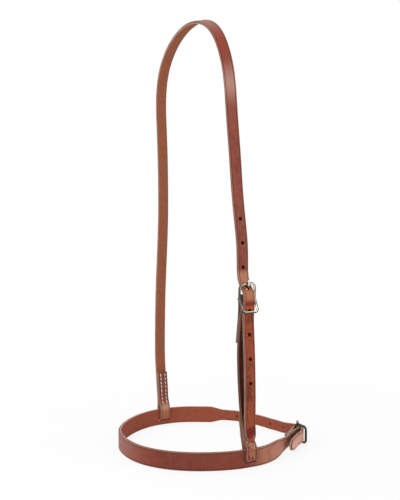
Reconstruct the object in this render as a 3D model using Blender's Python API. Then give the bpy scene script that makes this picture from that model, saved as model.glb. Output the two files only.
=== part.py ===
"""Bridle noseband: a leather band for the muzzle, hung from a strap that buckles at the near cheek.

Metres, +Z up. The noseband stands on its lower edge. +X points to the chin, +Y to the far side.
The hanger passes through two slits in the band, and both buckles have a centre bar.
"""

import math

import bmesh
import bpy
import numpy as np
from mathutils import Matrix, Vector

# Leather and fits
LEATHER = 0.0032
BAND_WIDTH = 0.0196
STRAP_WIDTH = 0.0127
EDGE_ROUND = 0.0006
FIT_GAP = 0.0003
PIVOT_GAP = 0.0004
SLIP_GAP = 0.0007
CUT_OVERRUN = 0.002
WELD_GAP = 0.000002

# Overall shape
LOOP_RADIUS = 0.100
LOOP_CENTRE_X = -0.0061
LOOP_CENTRE_Y = -0.0040
HANGER_SET_BACK = 0.0016
CROWN_HEIGHT = 0.478
NEAR_TAPER_START = 0.037
NEAR_TAPER_LENGTH = 0.036
FAR_TAPER_START = 0.057
FAR_TAPER_LENGTH = 0.019

# Slits and sewn loops
SLIT_LENGTH = 0.0142
SLIT_HEIGHT = 0.0062
SLIT_BELOW = 0.0052
SLIT_CORNER = 0.0012
FAR_LOOP_END = 0.064
NEAR_LOOP_END = 0.050
LOOP_FOOT_RISE = 0.0111
STITCH_PITCH = 0.0048
STITCH_ARCH = 0.0002
STITCH_MARGIN = 0.0035
STITCH_START = 0.0014
THREAD_RADIUS = 0.0004
THREAD_NECK = 0.0003
FAR_LOOP_STITCHES = 8
NEAR_LOOP_STITCHES = 5
CHAPE_STITCHES = 5

# Buckles
BAR_RADIUS = 0.00135
BAR_SPACING = 0.0150
BUCKLE_INSIDE = 0.0158
BUCKLE_DISH = 0.0068
BAR_SET_BACK = 0.0030
BAR_CRANK = 0.0016
BUCKLE_BEND = 1.5
BUCKLE_TILT = math.radians(12.5)
TONGUE_CORNER = 0.0050
HEEL_CORNER = 0.0038
TONGUE_RADIUS = 0.0010
TONGUE_OVERHANG = 0.0030
TONGUE_SLOT_SIDE = 0.0006
SLOT_SEGMENTS = 64
CHAPE_CLOSING = 0.0165
CROWN_CHAPE = 0.048
CHIN_CHAPE = 0.034

# Billets
HOLE_DIAMETER = 0.0034
CROWN_HOLE_PITCH = 0.0254
CHIN_HOLE_PITCH = 0.0245
TONGUE_HOLE_LENGTH = 0.0066
TONGUE_LEAD = 0.0027
CROWN_HOLE_SET_BACK = 0.0025
CROWN_HOLES_ABOVE = 3
CROWN_HOLES_BELOW = 4
CHIN_HOLES = 4
TIP_LENGTH = 0.010
TIP_WIDTH = 0.0030
CROWN_TIP_HEIGHT = 0.028
CHIN_TAIL = 0.046

# How finely the straps and the wire follow their lines
LONGEST_STEP = 0.0085
SHARPEST_STEP = math.radians(13)
WIRE_STEP = 0.0025
WIRE_BEND = math.radians(22)
LAST_STEP_SHARE = 0.17
TIP_STEP_SHARES = (0.12, 0.3, 0.6, 1.0)

# Places that the sizes above decide
LAYERS = LEATHER + FIT_GAP
TURN_RADIUS = LEATHER + SLIP_GAP
HANGER_X = LOOP_CENTRE_X - HANGER_SET_BACK
BAND_MIDDLE = BAND_WIDTH / 2
TURN_HEIGHT = SLIT_BELOW + SLIT_HEIGHT
ROCK_HEIGHT = SLIT_BELOW + SLIT_HEIGHT / 2
LOOP_FOOT = BAND_WIDTH + LOOP_FOOT_RISE
FOLD_RADIUS = BAR_RADIUS + PIVOT_GAP + LEATHER / 2
CREST = FOLD_RADIUS + LAYERS
BAR_HALF_LENGTH = BUCKLE_INSIDE / 2 + BAR_RADIUS
OVER_THREAD = LAYERS + 2 * THREAD_RADIUS + STITCH_ARCH + 2 * FIT_GAP

# Chin buckle: its centre bar in shares of the loop's radius, its heading and its chape's
CHIN_BAR_SHARES = (0.972, -0.433)
CHIN_HEADING = math.radians(61.5)
CHAPE_HEADING = math.radians(39.0)

# Crown buckle: its centre bar in shares of the radius and of the crown's height above the band
CROWN_BAR_SHARES = (-0.913, 0.3431)
CROWN_CHAPE_LEAN = math.radians(8.0)

# Plan of the band from the near cheek round the nose to the last billet hole
BAND_PLAN_SHARES = (
    (0.520, -0.805), (0.385, -0.893), (0.245, -0.960), (0.115, -0.995), (0.000, -1.000),
    (-0.115, -0.998), (-0.300, -0.962), (-0.520, -0.872), (-0.720, -0.732), (-0.870, -0.548),
    (-0.962, -0.330), (-0.988, -0.100), (-0.966, 0.130), (-0.900, 0.345), (-0.790, 0.530),
    (-0.650, 0.692), (-0.480, 0.835), (-0.295, 0.940), (-0.115, 0.994), (0.000, 1.000),
    (0.115, 0.996), (0.280, 0.950), (0.445, 0.860), (0.615, 0.735), (0.775, 0.575),
    (0.915, 0.370), (0.995, 0.135), (1.022, -0.090),
)
# The billet sags at those points, and the ends lift to the buckle: shares of the largest sag
LARGEST_SAG = 0.0024
NEAR_END_SAG_SHARES = (-0.35, -0.15)
BILLET_SAG_SHARES = (-0.1, -0.1, 0.45, 1.0, 0.8)
BUCKLE_SAG_SHARE = -0.4

# Side view of the crown strap above the far loop, over the arch, down to the crown buckle:
# shares of the loop's radius and of the crown's height above the band
CROWN_ARCH_SHARES = (
    (1.078, 0.0949), (1.098, 0.1397), (1.098, 0.2179), (1.083, 0.3014), (1.043, 0.4056),
    (1.003, 0.5203), (1.003, 0.6246), (1.028, 0.7341), (1.048, 0.8279), (0.978, 0.8957),
    (0.768, 0.9531), (0.45, 0.9906), (0.09, 1), (-0.23, 0.975), (-0.46, 0.9145),
    (-0.562, 0.8561), (-0.622, 0.7706), (-0.684, 0.6767), (-0.765, 0.5516), (-0.846, 0.4369),
)
# Twist of the crown strap about its own length at those points, in shares of its largest twist
LARGEST_TWIST = math.radians(19)
CROWN_TWIST_SHARES = (0, 0, 0, 0, 0, 0, 0, 0, 0, 0, 0.1, 0.3, 0.6, 0.9, 1, 1, 0.9, 0.75, 0.45, 0.2)

# Far side of the hanger between the band and the arch, in shares of the radius and of the loop's end
FAR_RISE_SHARES = ((1.036, 0.42), (1.045, 0.58), (1.059, 0.76))
# Near side, from the crown buckle's chape down to the band
NEAR_FALL_SHARES = (
    (-0.858, 0.2023), (-0.869, 0.1606), (-0.893, 0.1095), (-0.928, 0.0657), (-0.958, 0.0365),
    (-0.978, 0.0209),
)
# A turned-up layer: shares of its height above the loop's foot, and of a layer's thickness away
TURNED_UP_SHARES = ((1.00, 0), (0.60, 0), (0.28, 0), (0.00, 0.06))
# Crown tail outside the near side, from the buckle down to its tip
TAIL_SHARES = (
    (-0.973, 0.2701), (-0.99, 0.2179), (-1.002, 0.1554), (-1.006, 0.0928), (-1.005, 0.0532),
)

# Points down each side of a buckle's rim, in shares of the bar spacing
RIM_SIDE_SHARES = (0.35, 0.15, -0.15, -0.4)

# Strap over the centre bar, in shares of the bar spacing and of the crest: entry side, then exit
OVER_BAR_SHARES = (
    (0.98, -0.27), (0.78, 0.12), (0.57, 0.58), (0.33, 0.94), (0.0, 1.03), (-0.36, 1.0), (-0.87, 0.84),
)
# Where the tongue comes up through the strap
CROSSING_SHARES = OVER_BAR_SHARES[1]
# Tongue's shank between its eye and that place: shares of the crossing's distance and of the eye
SHANK_SHARES = ((0.30, -0.97), (0.62, -0.45))
# Angles round the bars, in degrees, where the tongue's wire starts, leaves its eye and meets the rim
EYE_START, EYE_END, RIM_MEETING = 12, 270, 152

# How a chape's two layers close together behind the bar: shares of its length and of the opening
CHAPE_CLOSING_SHARES = ((1.0, 0.0), (0.6, 0.28), (0.3, 0.80))

# Points along the chin billet's straight tail, in shares of its length
TAIL_SPACING_SHARES = (0.35, 0.7, 1.0)

# Colours
LEATHER_GRAIN = (0.30, 0.085, 0.045)
CROWN_GRAIN = (0.33, 0.095, 0.05)
NICKEL = (0.46, 0.43, 0.40)
DARK_NICKEL = (0.34, 0.31, 0.28)
THREAD = (0.72, 0.55, 0.46)
SHARP_EDGE = math.radians(40)


def clear_scene():
    for item in list(bpy.data.objects):
        bpy.data.objects.remove(item, do_unlink=True)


class Paint:
    """A finish that names each object's own material after the object."""

    def __init__(self, name, colour, roughness, metallic):
        self.name, self.colour, self.roughness, self.metallic = name, colour, roughness, metallic

    def material(self, part):
        made = bpy.data.materials.new(part + "_" + self.name)
        made.use_nodes = True
        shader = made.node_tree.nodes["Principled BSDF"]
        shader.inputs["Base Color"].default_value = (*self.colour, 1)
        shader.inputs["Roughness"].default_value = self.roughness
        shader.inputs["Metallic"].default_value = self.metallic
        return made


def dress(made, paint):
    """Gives an object its material and smooth faces between sharp edges."""
    made.data.materials.append(paint.material(made.name))
    made.data.shade_smooth()
    made.data.set_sharp_from_angle(angle=SHARP_EDGE)


def finish_object(name, mesh, paint, pivot, parent=None):
    """Puts a world-space mesh in the scene with its origin at the pivot."""
    mesh.transform(Matrix.Translation(-pivot))
    made = bpy.data.objects.new(name, mesh)
    bpy.context.scene.collection.objects.link(made)
    made.parent = parent
    made.location = pivot - parent.matrix_world.translation if parent else pivot
    dress(made, paint)
    bpy.context.view_layer.update()
    return made


def axis_empty(name, place, parent=None):
    made = bpy.data.objects.new(name, None)
    bpy.context.scene.collection.objects.link(made)
    made.parent = parent
    made.location = place - parent.matrix_world.translation if parent else place
    bpy.context.view_layer.update()
    return made


class Route:
    """A smooth line through points in a plane, measured by its length, with a value at each point."""

    DENSE = 40

    def __init__(self, points, values=None):
        knots = np.array(points, float)
        chord = np.linalg.norm(np.diff(knots, axis=0), axis=1)
        rows = len(knots)
        system = np.eye(rows)
        right = np.zeros_like(knots)
        for i in range(1, rows - 1):
            before, after = chord[i - 1], chord[i]
            system[i, i - 1:i + 2] = (before, 2 * (before + after), after)
            rise = (knots[i + 1] - knots[i]) / after - (knots[i] - knots[i - 1]) / before
            right[i] = 6 * rise
        bend = np.linalg.solve(system, right)
        dense = [knots[0]]
        for i, span in enumerate(chord):
            for u in np.linspace(0, 1, self.DENSE + 1)[1:]:
                a, b = 1 - u, u
                pull = (a**3 - a) * bend[i] + (b**3 - b) * bend[i + 1]
                dense.append(a * knots[i] + b * knots[i + 1] + pull * span**2 / 6)
        self.points = np.array(dense)
        step = np.linalg.norm(np.diff(self.points, axis=0), axis=1)
        self.distance = np.concatenate(([0], np.cumsum(step)))
        self.length = self.distance[-1]
        self.values = np.zeros(rows) if values is None else np.array(values, float)

    def point(self, s):
        return np.array([np.interp(s, self.distance, self.points[:, k]) for k in (0, 1)])

    def value(self, s):
        return float(np.interp(s, self.distance[::self.DENSE], self.values))

    def tangent(self, s):
        reach = LONGEST_STEP / self.DENSE
        ahead = self.point(min(s + reach, self.length))
        behind = self.point(max(s - reach, 0))
        return (ahead - behind) / np.linalg.norm(ahead - behind)

    def normal(self, s):
        along = self.tangent(s)
        return np.array([-along[1], along[0]])

    def nearest(self, target, start=0.0, end=math.inf):
        inside = (self.distance >= start) & (self.distance <= end)
        gaps = np.linalg.norm(self.points - np.array(target), axis=1)
        gaps[~inside] = np.inf
        return float(self.distance[int(np.argmin(gaps))])

    def stations(self, longest, sharpest, tip=0.0):
        """Distances close together in the bends, and far apart on the straights."""
        chosen = [0.0]
        heading = self.tangent(0)
        fine = longest / self.DENSE
        for s in np.arange(fine, self.length - longest * LAST_STEP_SHARE, fine):
            along = self.tangent(s)
            turn = math.acos(min(1, max(-1, float(along @ heading))))
            if s - chosen[-1] >= longest or turn >= sharpest:
                chosen.append(float(s))
                heading = along
        chosen.append(self.length)
        if tip:
            chosen += [self.length - tip * share for share in TIP_STEP_SHARES]
        return sorted(chosen)


def arc(centre, radius, start, end, count):
    """Points on a circle from one angle to another, in degrees."""
    angles = np.radians(np.linspace(start, end, count))
    return [(centre[0] + radius * math.cos(a), centre[1] + radius * math.sin(a)) for a in angles]


def plan_frame(route, s):
    """Station of a strap that stands on edge in plan: point, across, through."""
    x, y = route.point(s)
    nx, ny = route.normal(s)
    return Vector((x, y, BAND_MIDDLE - route.value(s))), Vector((0, 0, 1)), Vector((nx, ny, 0))


def hanger_frame(route, s):
    """Station of a strap that hangs in the plane across the horse's head, with its twist."""
    y, z = route.point(s)
    ty, tz = route.tangent(s)
    turn = Matrix.Rotation(route.value(s), 3, Vector((0, ty, tz)))
    return Vector((HANGER_X, y, z)), turn @ Vector((1, 0, 0)), turn @ Vector((0, -tz, ty))


def strap_mesh(name, frames, widths):
    """Sweeps a rectangle with rounded edges along the stations."""
    shape = bmesh.new()
    rings = []
    for (place, across, through), width in zip(frames, widths):
        half, thick = width / 2, LEATHER / 2
        round_off = min(EDGE_ROUND, half / 2)
        corners = (
            (half - round_off, thick), (half, thick - round_off),
            (half, round_off - thick), (half - round_off, -thick),
            (round_off - half, -thick), (-half, round_off - thick),
            (-half, thick - round_off), (round_off - half, thick),
        )
        rings.append([shape.verts.new(place + across * a + through * t) for a, t in corners])
    for low, high in zip(rings, rings[1:]):
        for k in range(len(low)):
            m = (k + 1) % len(low)
            shape.faces.new((low[k], low[m], high[m], high[k]))
    shape.faces.new(rings[0])
    shape.faces.new(rings[-1])
    bmesh.ops.recalc_face_normals(shape, faces=shape.faces)
    mesh = bpy.data.meshes.new(name)
    shape.to_mesh(mesh)
    shape.free()
    return mesh


def tip_width(width, to_end):
    """Width of a strap whose end is cut to a blunt round point."""
    if to_end >= TIP_LENGTH:
        return width
    reach = 1 - to_end / TIP_LENGTH
    return TIP_WIDTH + (width - TIP_WIDTH) * math.sqrt(max(0, 1 - reach**2))


def eased(value, start, length):
    """Runs smoothly from 0 at the start to 1 after the length."""
    share = min(1, max(0, (value - start) / length))
    return share * share * (3 - 2 * share)


def rounded_outline(length, height, corner, facets=4):
    """Corners of a rectangle with rounded corners."""
    points = []
    for cx, cy, start in ((1, 1, 0), (-1, 1, 90), (-1, -1, 180), (1, -1, 270)):
        middle = (cx * (length / 2 - corner), cy * (height / 2 - corner))
        points += arc(middle, corner, start, start + 90, facets)
    return points


def punch(strap, cuts):
    """Cuts outlines through a strap; each cut is (station, length, height, corner)."""
    shape = bmesh.new()
    depth = LEATHER / 2 + CUT_OVERRUN
    for (place, across, through), length, height, corner in cuts:
        along = across.cross(through)
        outline = rounded_outline(length, height, corner)
        rings = []
        for side in (-1, 1):
            middle = place + through * side * depth
            rings.append([shape.verts.new(middle + along * a + across * b) for a, b in outline])
        shape.faces.new(rings[0])
        shape.faces.new(rings[1])
        for k in range(len(outline)):
            m = (k + 1) % len(outline)
            shape.faces.new((rings[0][k], rings[0][m], rings[1][m], rings[1][k]))
    bmesh.ops.remove_doubles(shape, verts=shape.verts, dist=WELD_GAP)
    bmesh.ops.recalc_face_normals(shape, faces=shape.faces)
    add_cutter(strap, shape)


def add_cutter(target, shape):
    mesh = bpy.data.meshes.new(target.name + "_cutter")
    shape.to_mesh(mesh)
    shape.free()
    cutter = bpy.data.objects.new(mesh.name, mesh)
    bpy.context.scene.collection.objects.link(cutter)
    cutter.hide_render = True
    cutter.display_type = "WIRE"
    cut = target.modifiers.new("Cut", "BOOLEAN")
    cut.operation = "DIFFERENCE"
    cut.solver = "EXACT"
    cut.object = cutter


class BuckleSeat:
    """Where a buckle stands: turns (along, out) beside its centre bar into the strap's plane."""

    def __init__(self, bar, along, side):
        self.bar = np.array(bar)
        self.along = np.array(along)
        self.out = side * np.array((along[1], -along[0]))

    def at(self, s, n):
        return tuple(self.bar + self.along * s + self.out * n)

    def over_bar(self):
        return [self.at(s * BAR_SPACING, n * CREST) for s, n in OVER_BAR_SHARES]

    def crossing(self):
        return self.at(CROSSING_SHARES[0] * BAR_SPACING, CROSSING_SHARES[1] * CREST)


def crown_seat():
    across, high = CROWN_BAR_SHARES
    return BuckleSeat((LOOP_CENTRE_Y + across * LOOP_RADIUS, above_band(high)), (0.0, 1.0), -1)


def chin_seat():
    forward, across = CHIN_BAR_SHARES
    bar = (LOOP_CENTRE_X + forward * LOOP_RADIUS, LOOP_CENTRE_Y + across * LOOP_RADIUS)
    return BuckleSeat(bar, (math.cos(CHIN_HEADING), math.sin(CHIN_HEADING)), 1)


def chape_points(bar, toward, out, length):
    """A strap's end folded round a centre bar, from its cut end to the outer layer."""
    bar, toward, out = np.array(bar), np.array(toward), np.array(out)
    half = LAYERS / 2
    leaving = [(CHAPE_CLOSING * c, half + (FOLD_RADIUS - half) * m) for c, m in CHAPE_CLOSING_SHARES]
    lay = [(length, half), ((length + CHAPE_CLOSING) / 2, half)] + leaving
    local = [(-c, -m) for c, m in lay]
    local += arc((0, 0), FOLD_RADIUS, -90, 90, 5)
    local += [(-c, m) for c, m in reversed(lay)]
    return [tuple(bar + toward * c + out * m) for c, m in local]


def turned_up(carried, end):
    """The turned-up layer inside a strap that goes down to the band, from its cut end down."""
    line = Route(carried)
    inward = -1 if line.points[0][0] > 0 else 1
    points = []
    for share, apart in TURNED_UP_SHARES:
        height = LOOP_FOOT + (end - LOOP_FOOT) * share
        s = line.distance[int(np.argmin(abs(line.points[:, 1] - height)))]
        normal = line.normal(s)
        if normal[0] * inward < 0:
            normal = -normal
        points.append(tuple(line.point(s) + normal * LAYERS * (1 + apart)))
    return points


def above_band(share):
    return BAND_WIDTH + share * (CROWN_HEIGHT - BAND_WIDTH)


def hanger_points(shares):
    return [(LOOP_CENTRE_Y + a * LOOP_RADIUS, above_band(b)) for a, b in shares]


def turn_in_slit(band, start, end):
    return arc((band, TURN_HEIGHT), TURN_RADIUS, start, end, 5)


def beside_band(band, side):
    """Points of a layer beside the band, from above its edge down to the slit."""
    face = band + side * TURN_RADIUS
    return [(face, BAND_WIDTH + 2 * SLIP_GAP), (face, TURN_HEIGHT + TURN_RADIUS)]


def crown_route():
    """Centre line of the crown strap: far loop from its cut end, arch, buckle, tail."""
    band = LOOP_CENTRE_Y + LOOP_RADIUS
    seat = crown_seat()
    rise = beside_band(band, 1)[::-1]
    rise += [(LOOP_CENTRE_Y + a * LOOP_RADIUS, b * FAR_LOOP_END) for a, b in FAR_RISE_SHARES]
    arch = hanger_points(CROWN_ARCH_SHARES)
    loop = turned_up(rise + arch, FAR_LOOP_END) + beside_band(band, -1) + turn_in_slit(band, 180, 360) + rise
    fall_end = hanger_points(NEAR_FALL_SHARES)[-1]
    tail = hanger_points(TAIL_SHARES) + [(fall_end[0] - OVER_THREAD, CROWN_TIP_HEIGHT)]
    after = seat.over_bar() + tail
    twist = [0] * len(loop) + [share * LARGEST_TWIST for share in CROWN_TWIST_SHARES] + [0] * len(after)
    return Route(loop + arch + after, twist)


def cheek_route():
    """Centre line of the cheek strap: chape, fall, and the near loop turned up to its cut end."""
    band = LOOP_CENTRE_Y - LOOP_RADIUS
    toward = np.array((-math.sin(CROWN_CHAPE_LEAN), math.cos(CROWN_CHAPE_LEAN)))
    chape = chape_points(crown_seat().bar, toward, (-toward[1], toward[0]), CROWN_CHAPE)
    fall = hanger_points(NEAR_FALL_SHARES) + beside_band(band, -1)
    up = turned_up(chape[-1:] + fall, NEAR_LOOP_END) + beside_band(band, 1)
    return Route(chape + fall + turn_in_slit(band, 180, 360) + up[::-1])


def band_route():
    """Centre line of the noseband in plan, from its folded end to the tip of its billet."""
    seat = chin_seat()
    toward = np.array((math.cos(CHAPE_HEADING), math.sin(CHAPE_HEADING)))
    chape = chape_points(seat.bar, toward, (toward[1], -toward[0]), CHIN_CHAPE)
    centre = np.array((LOOP_CENTRE_X, LOOP_CENTRE_Y))
    loop = [tuple(centre + LOOP_RADIUS * np.array(p)) for p in BAND_PLAN_SHARES]
    over = seat.over_bar()
    tail = [tuple(np.array(over[-1]) - toward * CHIN_TAIL * share) for share in TAIL_SPACING_SHARES]
    flat = [0] * (len(loop) - len(NEAR_END_SAG_SHARES) - len(BILLET_SAG_SHARES))
    sags = [BUCKLE_SAG_SHARE] * len(chape) + [*NEAR_END_SAG_SHARES, *flat, *BILLET_SAG_SHARES]
    sags += [BUCKLE_SAG_SHARE] * len(over)
    sags += [BUCKLE_SAG_SHARE * (1 - share) for share in TAIL_SPACING_SHARES]
    return Route(chape + loop + over + tail, [share * LARGEST_SAG for share in sags])


def band_width(route, s, near, far):
    """The band is wide round the nose and narrow at the buckle and the billet."""
    wide = eased(s, near - NEAR_TAPER_START - NEAR_TAPER_LENGTH, NEAR_TAPER_LENGTH)
    wide -= eased(s, far + FAR_TAPER_START, FAR_TAPER_LENGTH)
    width = STRAP_WIDTH + (BAND_WIDTH - STRAP_WIDTH) * wide
    return tip_width(width, route.length - s)


def hole_cuts(frame, route, crossing, pitch, before, after, set_back=0.0):
    """The long hole that the tongue is in, with round holes each side of it."""
    first = route.nearest(crossing, route.length / 2) + TONGUE_LEAD
    made = [(frame(route, first - TONGUE_LEAD / 2), TONGUE_HOLE_LENGTH, HOLE_DIAMETER, HOLE_DIAMETER / 2)]
    for k in range(-before, after + 1):
        if k:
            s = first + k * pitch - (set_back if k > 0 else 0)
            made.append((frame(route, s), HOLE_DIAMETER, HOLE_DIAMETER, HOLE_DIAMETER / 2))
    return made


def tongue_slot(strap, bar, across):
    """Opens the fold round the bar for the tongue; a disc, so that it spares a billet laid over it."""
    width = 2 * (TONGUE_RADIUS + TONGUE_SLOT_SIDE)
    reach = FOLD_RADIUS + LEATHER / 2 + FIT_GAP / 3
    shape = bmesh.new()
    bmesh.ops.create_cone(
        shape, cap_ends=True, segments=SLOT_SEGMENTS, radius1=reach, radius2=reach, depth=width)
    turn = Vector((0, 0, 1)).rotation_difference(across).to_matrix().to_4x4()
    shape.transform(Matrix.Translation(bar) @ turn)
    shape.normal_update()
    bmesh.ops.recalc_face_normals(shape, faces=shape.faces)
    add_cutter(strap, shape)


def make_band(paint):
    """The muzzle strap: folded end, near side, nose, far side and billet in one length."""
    route = band_route()
    near = route.nearest((LOOP_CENTRE_X, LOOP_CENTRE_Y - LOOP_RADIUS), end=route.length / 2)
    far = route.nearest((LOOP_CENTRE_X, LOOP_CENTRE_Y + LOOP_RADIUS))
    stations = route.stations(LONGEST_STEP, SHARPEST_STEP, TIP_LENGTH)
    frames = [plan_frame(route, s) for s in stations]
    widths = [band_width(route, s, near, far) for s in stations]
    strap = finish_object("noseband_strap", strap_mesh("noseband_strap", frames, widths), paint, Vector())
    seat = chin_seat()
    cuts = hole_cuts(plan_frame, route, seat.crossing(), CHIN_HOLE_PITCH, CHIN_HOLES, 0)
    for s in (near, far):
        place, across, through = plan_frame(route, s)
        place.x = HANGER_X
        place.z = ROCK_HEIGHT
        cuts.append(((place, across, through), SLIT_LENGTH, SLIT_HEIGHT, SLIT_CORNER))
    punch(strap, cuts)
    tongue_slot(strap, chin_bar_place(), Vector((0, 0, 1)))
    return strap, route


def chin_bar_place():
    return Vector((*chin_seat().bar, BAND_MIDDLE - BUCKLE_SAG_SHARE * LARGEST_SAG))


def crown_bar_place():
    return Vector((HANGER_X, *crown_seat().bar))


def make_hanger_strap(name, paint, rock, route, tip):
    """A strap of the hanger, which rocks with it."""
    stations = route.stations(LONGEST_STEP, SHARPEST_STEP, tip)
    frames = [hanger_frame(route, s) for s in stations]
    widths = [tip_width(STRAP_WIDTH, route.length - s) if tip else STRAP_WIDTH for s in stations]
    mesh = strap_mesh(name, frames, widths)
    return finish_object(name, mesh, paint, rock.matrix_world.translation.copy(), rock)


def tilted(s, n):
    """A point of the buckle after its frame leans back on the strap."""
    c, d = math.cos(BUCKLE_TILT), math.sin(BUCKLE_TILT)
    return s * c + n * d, n * c - s * d


def tube(shape, path, radii, sides, closed, up):
    """Sweeps a round section along a path in space; each point has its own radius."""
    rings = []
    count = len(path)
    for i, place in enumerate(path):
        before = path[i - 1] if closed or i else path[i]
        after = path[(i + 1) % count] if closed or i < count - 1 else path[i]
        along = (after - before).normalized()
        side = along.cross(up).normalized()
        lift = side.cross(along)
        ring = []
        for k in range(sides):
            angle = 2 * math.pi * (k + 0.5) / sides
            spoke = side * math.cos(angle) + lift * math.sin(angle)
            ring.append(shape.verts.new(place + spoke * radii[i]))
        rings.append(ring)
    pairs = list(zip(rings, rings[1:]))
    if closed:
        pairs.append((rings[-1], rings[0]))
    else:
        shape.faces.new(rings[0])
        shape.faces.new(rings[-1])
    for low, high in pairs:
        for k in range(sides):
            m = (k + 1) % sides
            shape.faces.new((low[k], low[m], high[m], high[k]))


def frame_path():
    """Centre line of the buckle's rim: across, and along with its dish."""
    half, long = BAR_HALF_LENGTH, BAR_SPACING
    side = [long * share for share in RIM_SIDE_SHARES]
    flat = arc((half - TONGUE_CORNER, long - TONGUE_CORNER), TONGUE_CORNER, 0, 90, 5)
    flat += arc((TONGUE_CORNER - half, long - TONGUE_CORNER), TONGUE_CORNER, 90, 180, 5)
    flat += [(-half, s) for s in side]
    flat += arc((HEEL_CORNER - half, HEEL_CORNER - long), HEEL_CORNER, 180, 270, 4)
    flat += arc((half - HEEL_CORNER, HEEL_CORNER - long), HEEL_CORNER, 270, 360, 4)
    flat += [(half, s) for s in reversed(side)]
    return [Vector((across, -rim_height(s / long), s)) for across, s in flat]


def rim_height(share):
    """How far out of its centre bar the rim lies, at a share of the way to its ends."""
    return BAR_SET_BACK * (1 - share**2) + BUCKLE_DISH * abs(share) ** BUCKLE_BEND


def bar_path():
    """Centre line of the bar, whose two ends crank out to the rim's sides."""
    turn = arc((BAR_HALF_LENGTH - BAR_CRANK, BAR_CRANK), BAR_CRANK, -90, 0, 4)
    end = turn + [(BAR_HALF_LENGTH, BAR_SET_BACK)]
    return [Vector((-x, -n, 0)) for x, n in reversed(end)] + [Vector((x, -n, 0)) for x, n in end]


def stand_object(name, shape, stand, tilt=0.0):
    """Puts a shape on a buckle's axis."""
    bmesh.ops.recalc_face_normals(shape, faces=shape.faces)
    mesh = bpy.data.meshes.new(name)
    shape.to_mesh(mesh)
    shape.free()
    made = bpy.data.objects.new(name, mesh)
    bpy.context.scene.collection.objects.link(made)
    made.parent = stand
    made.rotation_euler = (-tilt, 0, 0)
    return made


def make_buckle_frame(name, paint, stand):
    """Rim with raised ends and a fixed centre bar set back from it, leaning back on the strap."""
    shape = bmesh.new()
    path = frame_path()
    tube(shape, path, [BAR_RADIUS] * len(path), 8, True, Vector((0, 1, 0)))
    rim = stand_object(name, shape, stand, BUCKLE_TILT)
    shape = bmesh.new()
    path = bar_path()
    tube(shape, path, [BAR_RADIUS] * len(path), 12, False, Vector((0, 0, 1)))
    guide = stand_object(name + "_bar", shape, stand, BUCKLE_TILT)
    guide.hide_render = True
    guide.display_type = "WIRE"
    join = rim.modifiers.new("Bar", "BOOLEAN")
    join.operation = "UNION"
    join.solver = "EXACT"
    join.object = guide
    dress(rim, paint)


def make_tongue(name, paint, stand):
    """Wire tongue: an eye round the bar, a shank under the strap, a tip over the end bar."""
    eye = BAR_RADIUS + PIVOT_GAP + TONGUE_RADIUS
    rest = tilted(BAR_SPACING, BUCKLE_DISH)
    cross_s, cross_n = CROSSING_SHARES[0] * BAR_SPACING, CROSSING_SHARES[1] * CREST
    points = arc((0, 0), eye, EYE_START, EYE_END, 9)
    points += [(cross_s * s, eye * n) for s, n in SHANK_SHARES]
    points.append((cross_s, cross_n))
    points += arc(rest, eye, RIM_MEETING, 90, 3)
    points.append((rest[0] + TONGUE_OVERHANG, rest[1] + eye))
    line = Route(points)
    path = []
    for s in line.stations(WIRE_STEP, WIRE_BEND):
        along, out = line.point(s)
        path.append(Vector((0, -out, along)))
    shape = bmesh.new()
    tube(shape, path, [TONGUE_RADIUS] * len(path), 8, False, Vector((1, 0, 0)))
    dress(stand_object(name, shape, stand), paint)


class Seam:
    """Two rows of stitches through a strap's turned end and the layer behind it."""

    def __init__(self, frame, route, first, count, fold):
        self.frame, self.route = frame, route
        fold_at = route.nearest(fold)
        self.front = [first + k * STITCH_PITCH / 2 for k in range(2 * count + 1)]
        self.back = []
        for s in self.front:
            other = 2 * fold_at - s
            self.back.append(route.nearest(route.point(s), other - CHAPE_CLOSING, other + CHAPE_CLOSING))
        apart = route.point(self.front[0]) - route.point(self.back[0])
        self.side = 1 if float(apart @ route.normal(self.front[0])) > 0 else -1

    def row(self, offset):
        """A row's closed path and radii: along one face, through, and back along the other."""
        path, radii = [], []
        low = LEATHER / 2 + FIT_GAP + THREAD_RADIUS
        for places in (self.front, self.back[::-1]):
            for k, s in enumerate(places):
                arched = k % 2
                radii.append(THREAD_RADIUS if arched else THREAD_NECK)
                place, across, through = self.frame(self.route, s)
                lift = low + STITCH_ARCH * arched
                path.append(place + through * self.side * lift + across * offset)
        return path, radii


def make_seam(names, paint, seam, strap, pivot, parent):
    """Sews a strap: the end holes of each row, and its thread."""
    row = STRAP_WIDTH / 2 - STITCH_MARGIN
    across = seam.frame(seam.route, seam.front[0])[1]
    holes = bmesh.new()
    for name, offset in zip(names, (-row, row)):
        path, radii = seam.row(offset)
        shape = bmesh.new()
        tube(shape, path, radii, 4, True, across)
        bmesh.ops.recalc_face_normals(shape, faces=shape.faces)
        mesh = bpy.data.meshes.new(name)
        shape.to_mesh(mesh)
        shape.free()
        finish_object(name, mesh, paint, pivot, parent)
        half = len(seam.front)
        for ends in ((path[0], path[-1]), (path[half - 1], path[half])):
            tube(holes, ends, [THREAD_RADIUS + FIT_GAP] * 2, 6, False, across)
    bmesh.ops.recalc_face_normals(holes, faces=holes.faces)
    add_cutter(strap, holes)


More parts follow.
